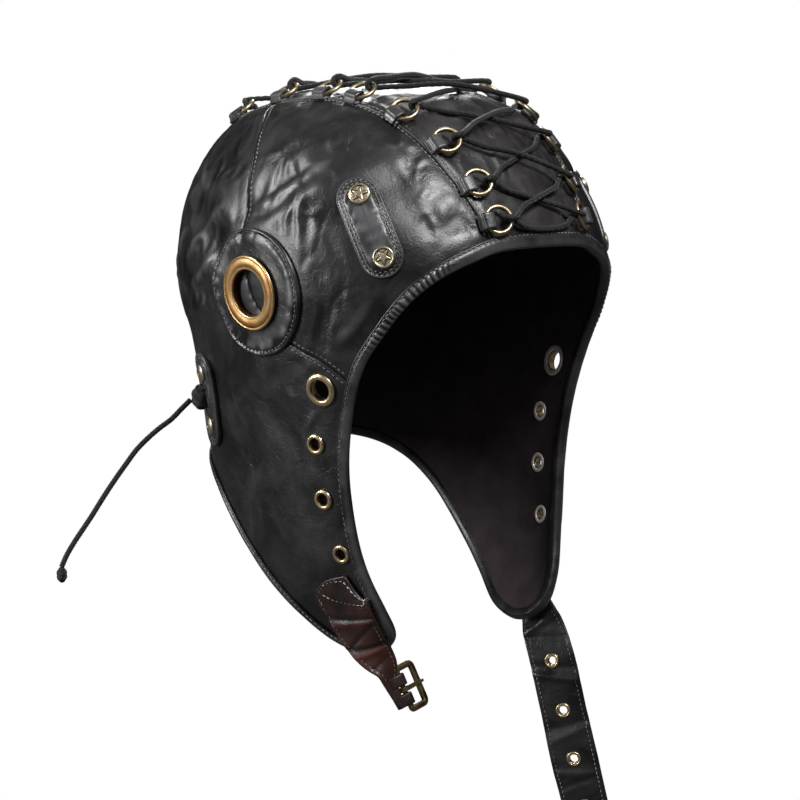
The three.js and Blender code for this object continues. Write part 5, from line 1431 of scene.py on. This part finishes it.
buckle_brass = brass("buckle_brass", (150, 132, 94), (38, 30, 19), 0.34, 0.9, 180.0)
path = []
for x, y, reach, start in ((BUCKLE_DEPTH - CORNER, BUCKLE_LENGTH - CORNER, CORNER, 0),
                           (CORNER * 0.4, BUCKLE_LENGTH - CORNER, CORNER * 0.4, 90),
                           (CORNER * 0.4, CORNER - BUCKLE_LENGTH, CORNER * 0.4, 180),
                           (BUCKLE_DEPTH - CORNER, CORNER - BUCKLE_LENGTH, CORNER, 270)):
    path += [(x + reach * math.cos(a), y + CORNER * math.sin(a))
             for a in np.radians(np.linspace(start, start + 90, 8))]
path = even_steps(np.vstack([path, path[:1]]), 0.45)[0][:-1]
sideways = unit(np.roll(path, -1, axis=0) - np.roll(path, 1, axis=0))[:, ::-1] * (1, -1)
turn = full_turn(FRAME_SIDES)
cosine, sine = np.cos(turn), np.sin(turn)
at_heel = ramp(path[:, 0], 1.2, 0.4) * ramp(np.abs(path[:, 1]), BUCKLE_LENGTH - 1.4, BUCKLE_LENGTH - 2.2)
wide = np.sign(cosine) * np.abs(cosine) ** SQUARED * (FRAME_HALF - BAR_LESS * at_heel)[:, None]
high = np.sign(sine) * np.abs(sine) ** SQUARED * (FRAME_HIGH + 0.12 * ramp(path[:, :1], 0, BUCKLE_DEPTH))
loops = np.concatenate([path[:, None] + sideways[:, None] * wide[..., None], high[..., None]], -1)
tarnish = 0.45 - 0.75 * clamped(np.abs(cosine * sine) * 4 - 0.9) + 0.25 * soft_noise(loops, 3, 191)
fixed(make_piece("buckle_cast_frame", *lofted(in_buckle(loops), ring=True), buckle_brass,
                 tarnish=clamped(tarnish)), "dark_brass", "buckle_frame", body="buckle")

prong, line = over_bar([*arc(PRONG_EYE, np.arange(430, 89, -14)), (0.9, 1.98), (3.0, 1.96), (6.0, 1.90),
                        (8.4, 1.84), (10.2, 1.86), (PRONG_LENGTH, 1.78)], 0.3, 6)
narrowing = np.interp(prong[:, 0], [0, 8.5, PRONG_LENGTH], [2.2, 1.9, 1.2])
points, faces, wear_and_highlight = leather_band(line, ALONG, narrowing, PRONG_WALL, 0.0, crown=0.08)
fixed(make_piece("buckle_prong_wire", points, faces, buckle_brass, tarnish=0 * wear_and_highlight + 0.3), "dark_brass",
      "buckle_prong", body="prong")

# Chin strap: a plain strap of black leather, 20 to 22.5 mm wide, sewn on the left flap tip.
# It hangs free in a slow bend and has four holes with small brass eyelets, and a rounded end.
CHIN_STRAP = [
    ("lift", -0.4, -27, -221, (-0.2, 0.95, 0.25), 20), ("lift", 1.3, -33, -234, (-0.2, 0.95, 0.2), 21),
    ("x", 54.2, -39.5, -247, (-0.25, 0.95, 0.1), 21), ("x", 53.4, -46.5, -262, (-0.35, 0.93, 0), 22.5),
    ("x", 54.2, -53, -285, (-0.5, 0.86, 0), 21.5), ("x", 56.5, -58, -308, (-0.5, 0.86, 0), 22.5),
    ("x", 60, -62.5, -331, (-0.45, 0.88, 0), 22), ("x", 62.5, -66, -347, (-0.45, 0.88, 0), 22),
    ("x", 63.5, -68, -356, (-0.45, 0.88, 0), 21),
]
CHIN_HOLES = np.array([-262.5, -285, -307.5, -330])
CHIN_CREASES = [
    (24, 0.2, 2.2, 0.9), (29, 0.25, 1.8, -0.9), (36, -0.3, 2.0, 0.6), (50, -0.2, 2.5, 0.8), (55, -0.3, 1.7, -0.8),
    (78, 0.1, 2.2, 0.8), (82, 0.3, 1.8, -0.6), (101, -0.15, 2.0, -0.8), (105, 0.2, 1.6, 0.6), (120, 0.1, 2.6, 0.6),
]
CHIN_THICKNESS, CHIN_END = 2.0, 9.0
CHIN_EYELET = 3.5, 1.95

chin_black = leather("chin_strap_leather", (12, 12, 13), (96, 96, 100), 0.32, 0.2, 0.14, 6.0)
centres, across, widths, along = strap_line(CHIN_STRAP, 1, CHIN_THICKNESS)
holes = at_places(-CHIN_HOLES, -centres[:, 2], centres)
widths = widths * np.sqrt(np.clip(1 - (1 - (along[-1] - along) / CHIN_END).clip(0) ** 2, 0.02, 1))
chin_rows, across, outwards = strap("chin_strap_leather", (centres, across, widths, along), CHIN_THICKNESS,
                                    CHIN_CREASES, 9, chin_black, "black_leather", "chin_strap", holes)
sewn("chin_strap_stitches", chin_rows, length=1.5, thickness=0.36)
near = [np.argmin(np.linalg.norm(centres - hole, axis=1)) for hole in holes]
for kind, pattern, over in (("eyelets", eyelet(*CHIN_EYELET, -CHIN_THICKNESS - 0.6, 0.9), CHIN_THICKNESS / 2 - 0.05),
                            ("washers", washer(*CHIN_EYELET, 0.6), -CHIN_THICKNESS / 2 - 0.05)):
    fitted(f"chin_strap_{kind}", pattern, (holes + outwards[near] * over, outwards[near], across[near],
                                           np.ones(len(holes))), eyelet_brass, "aged_brass")

low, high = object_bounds()
{"cad": [list(cad_low), list(cad_high)], "visual": [list(low), list(high)]}
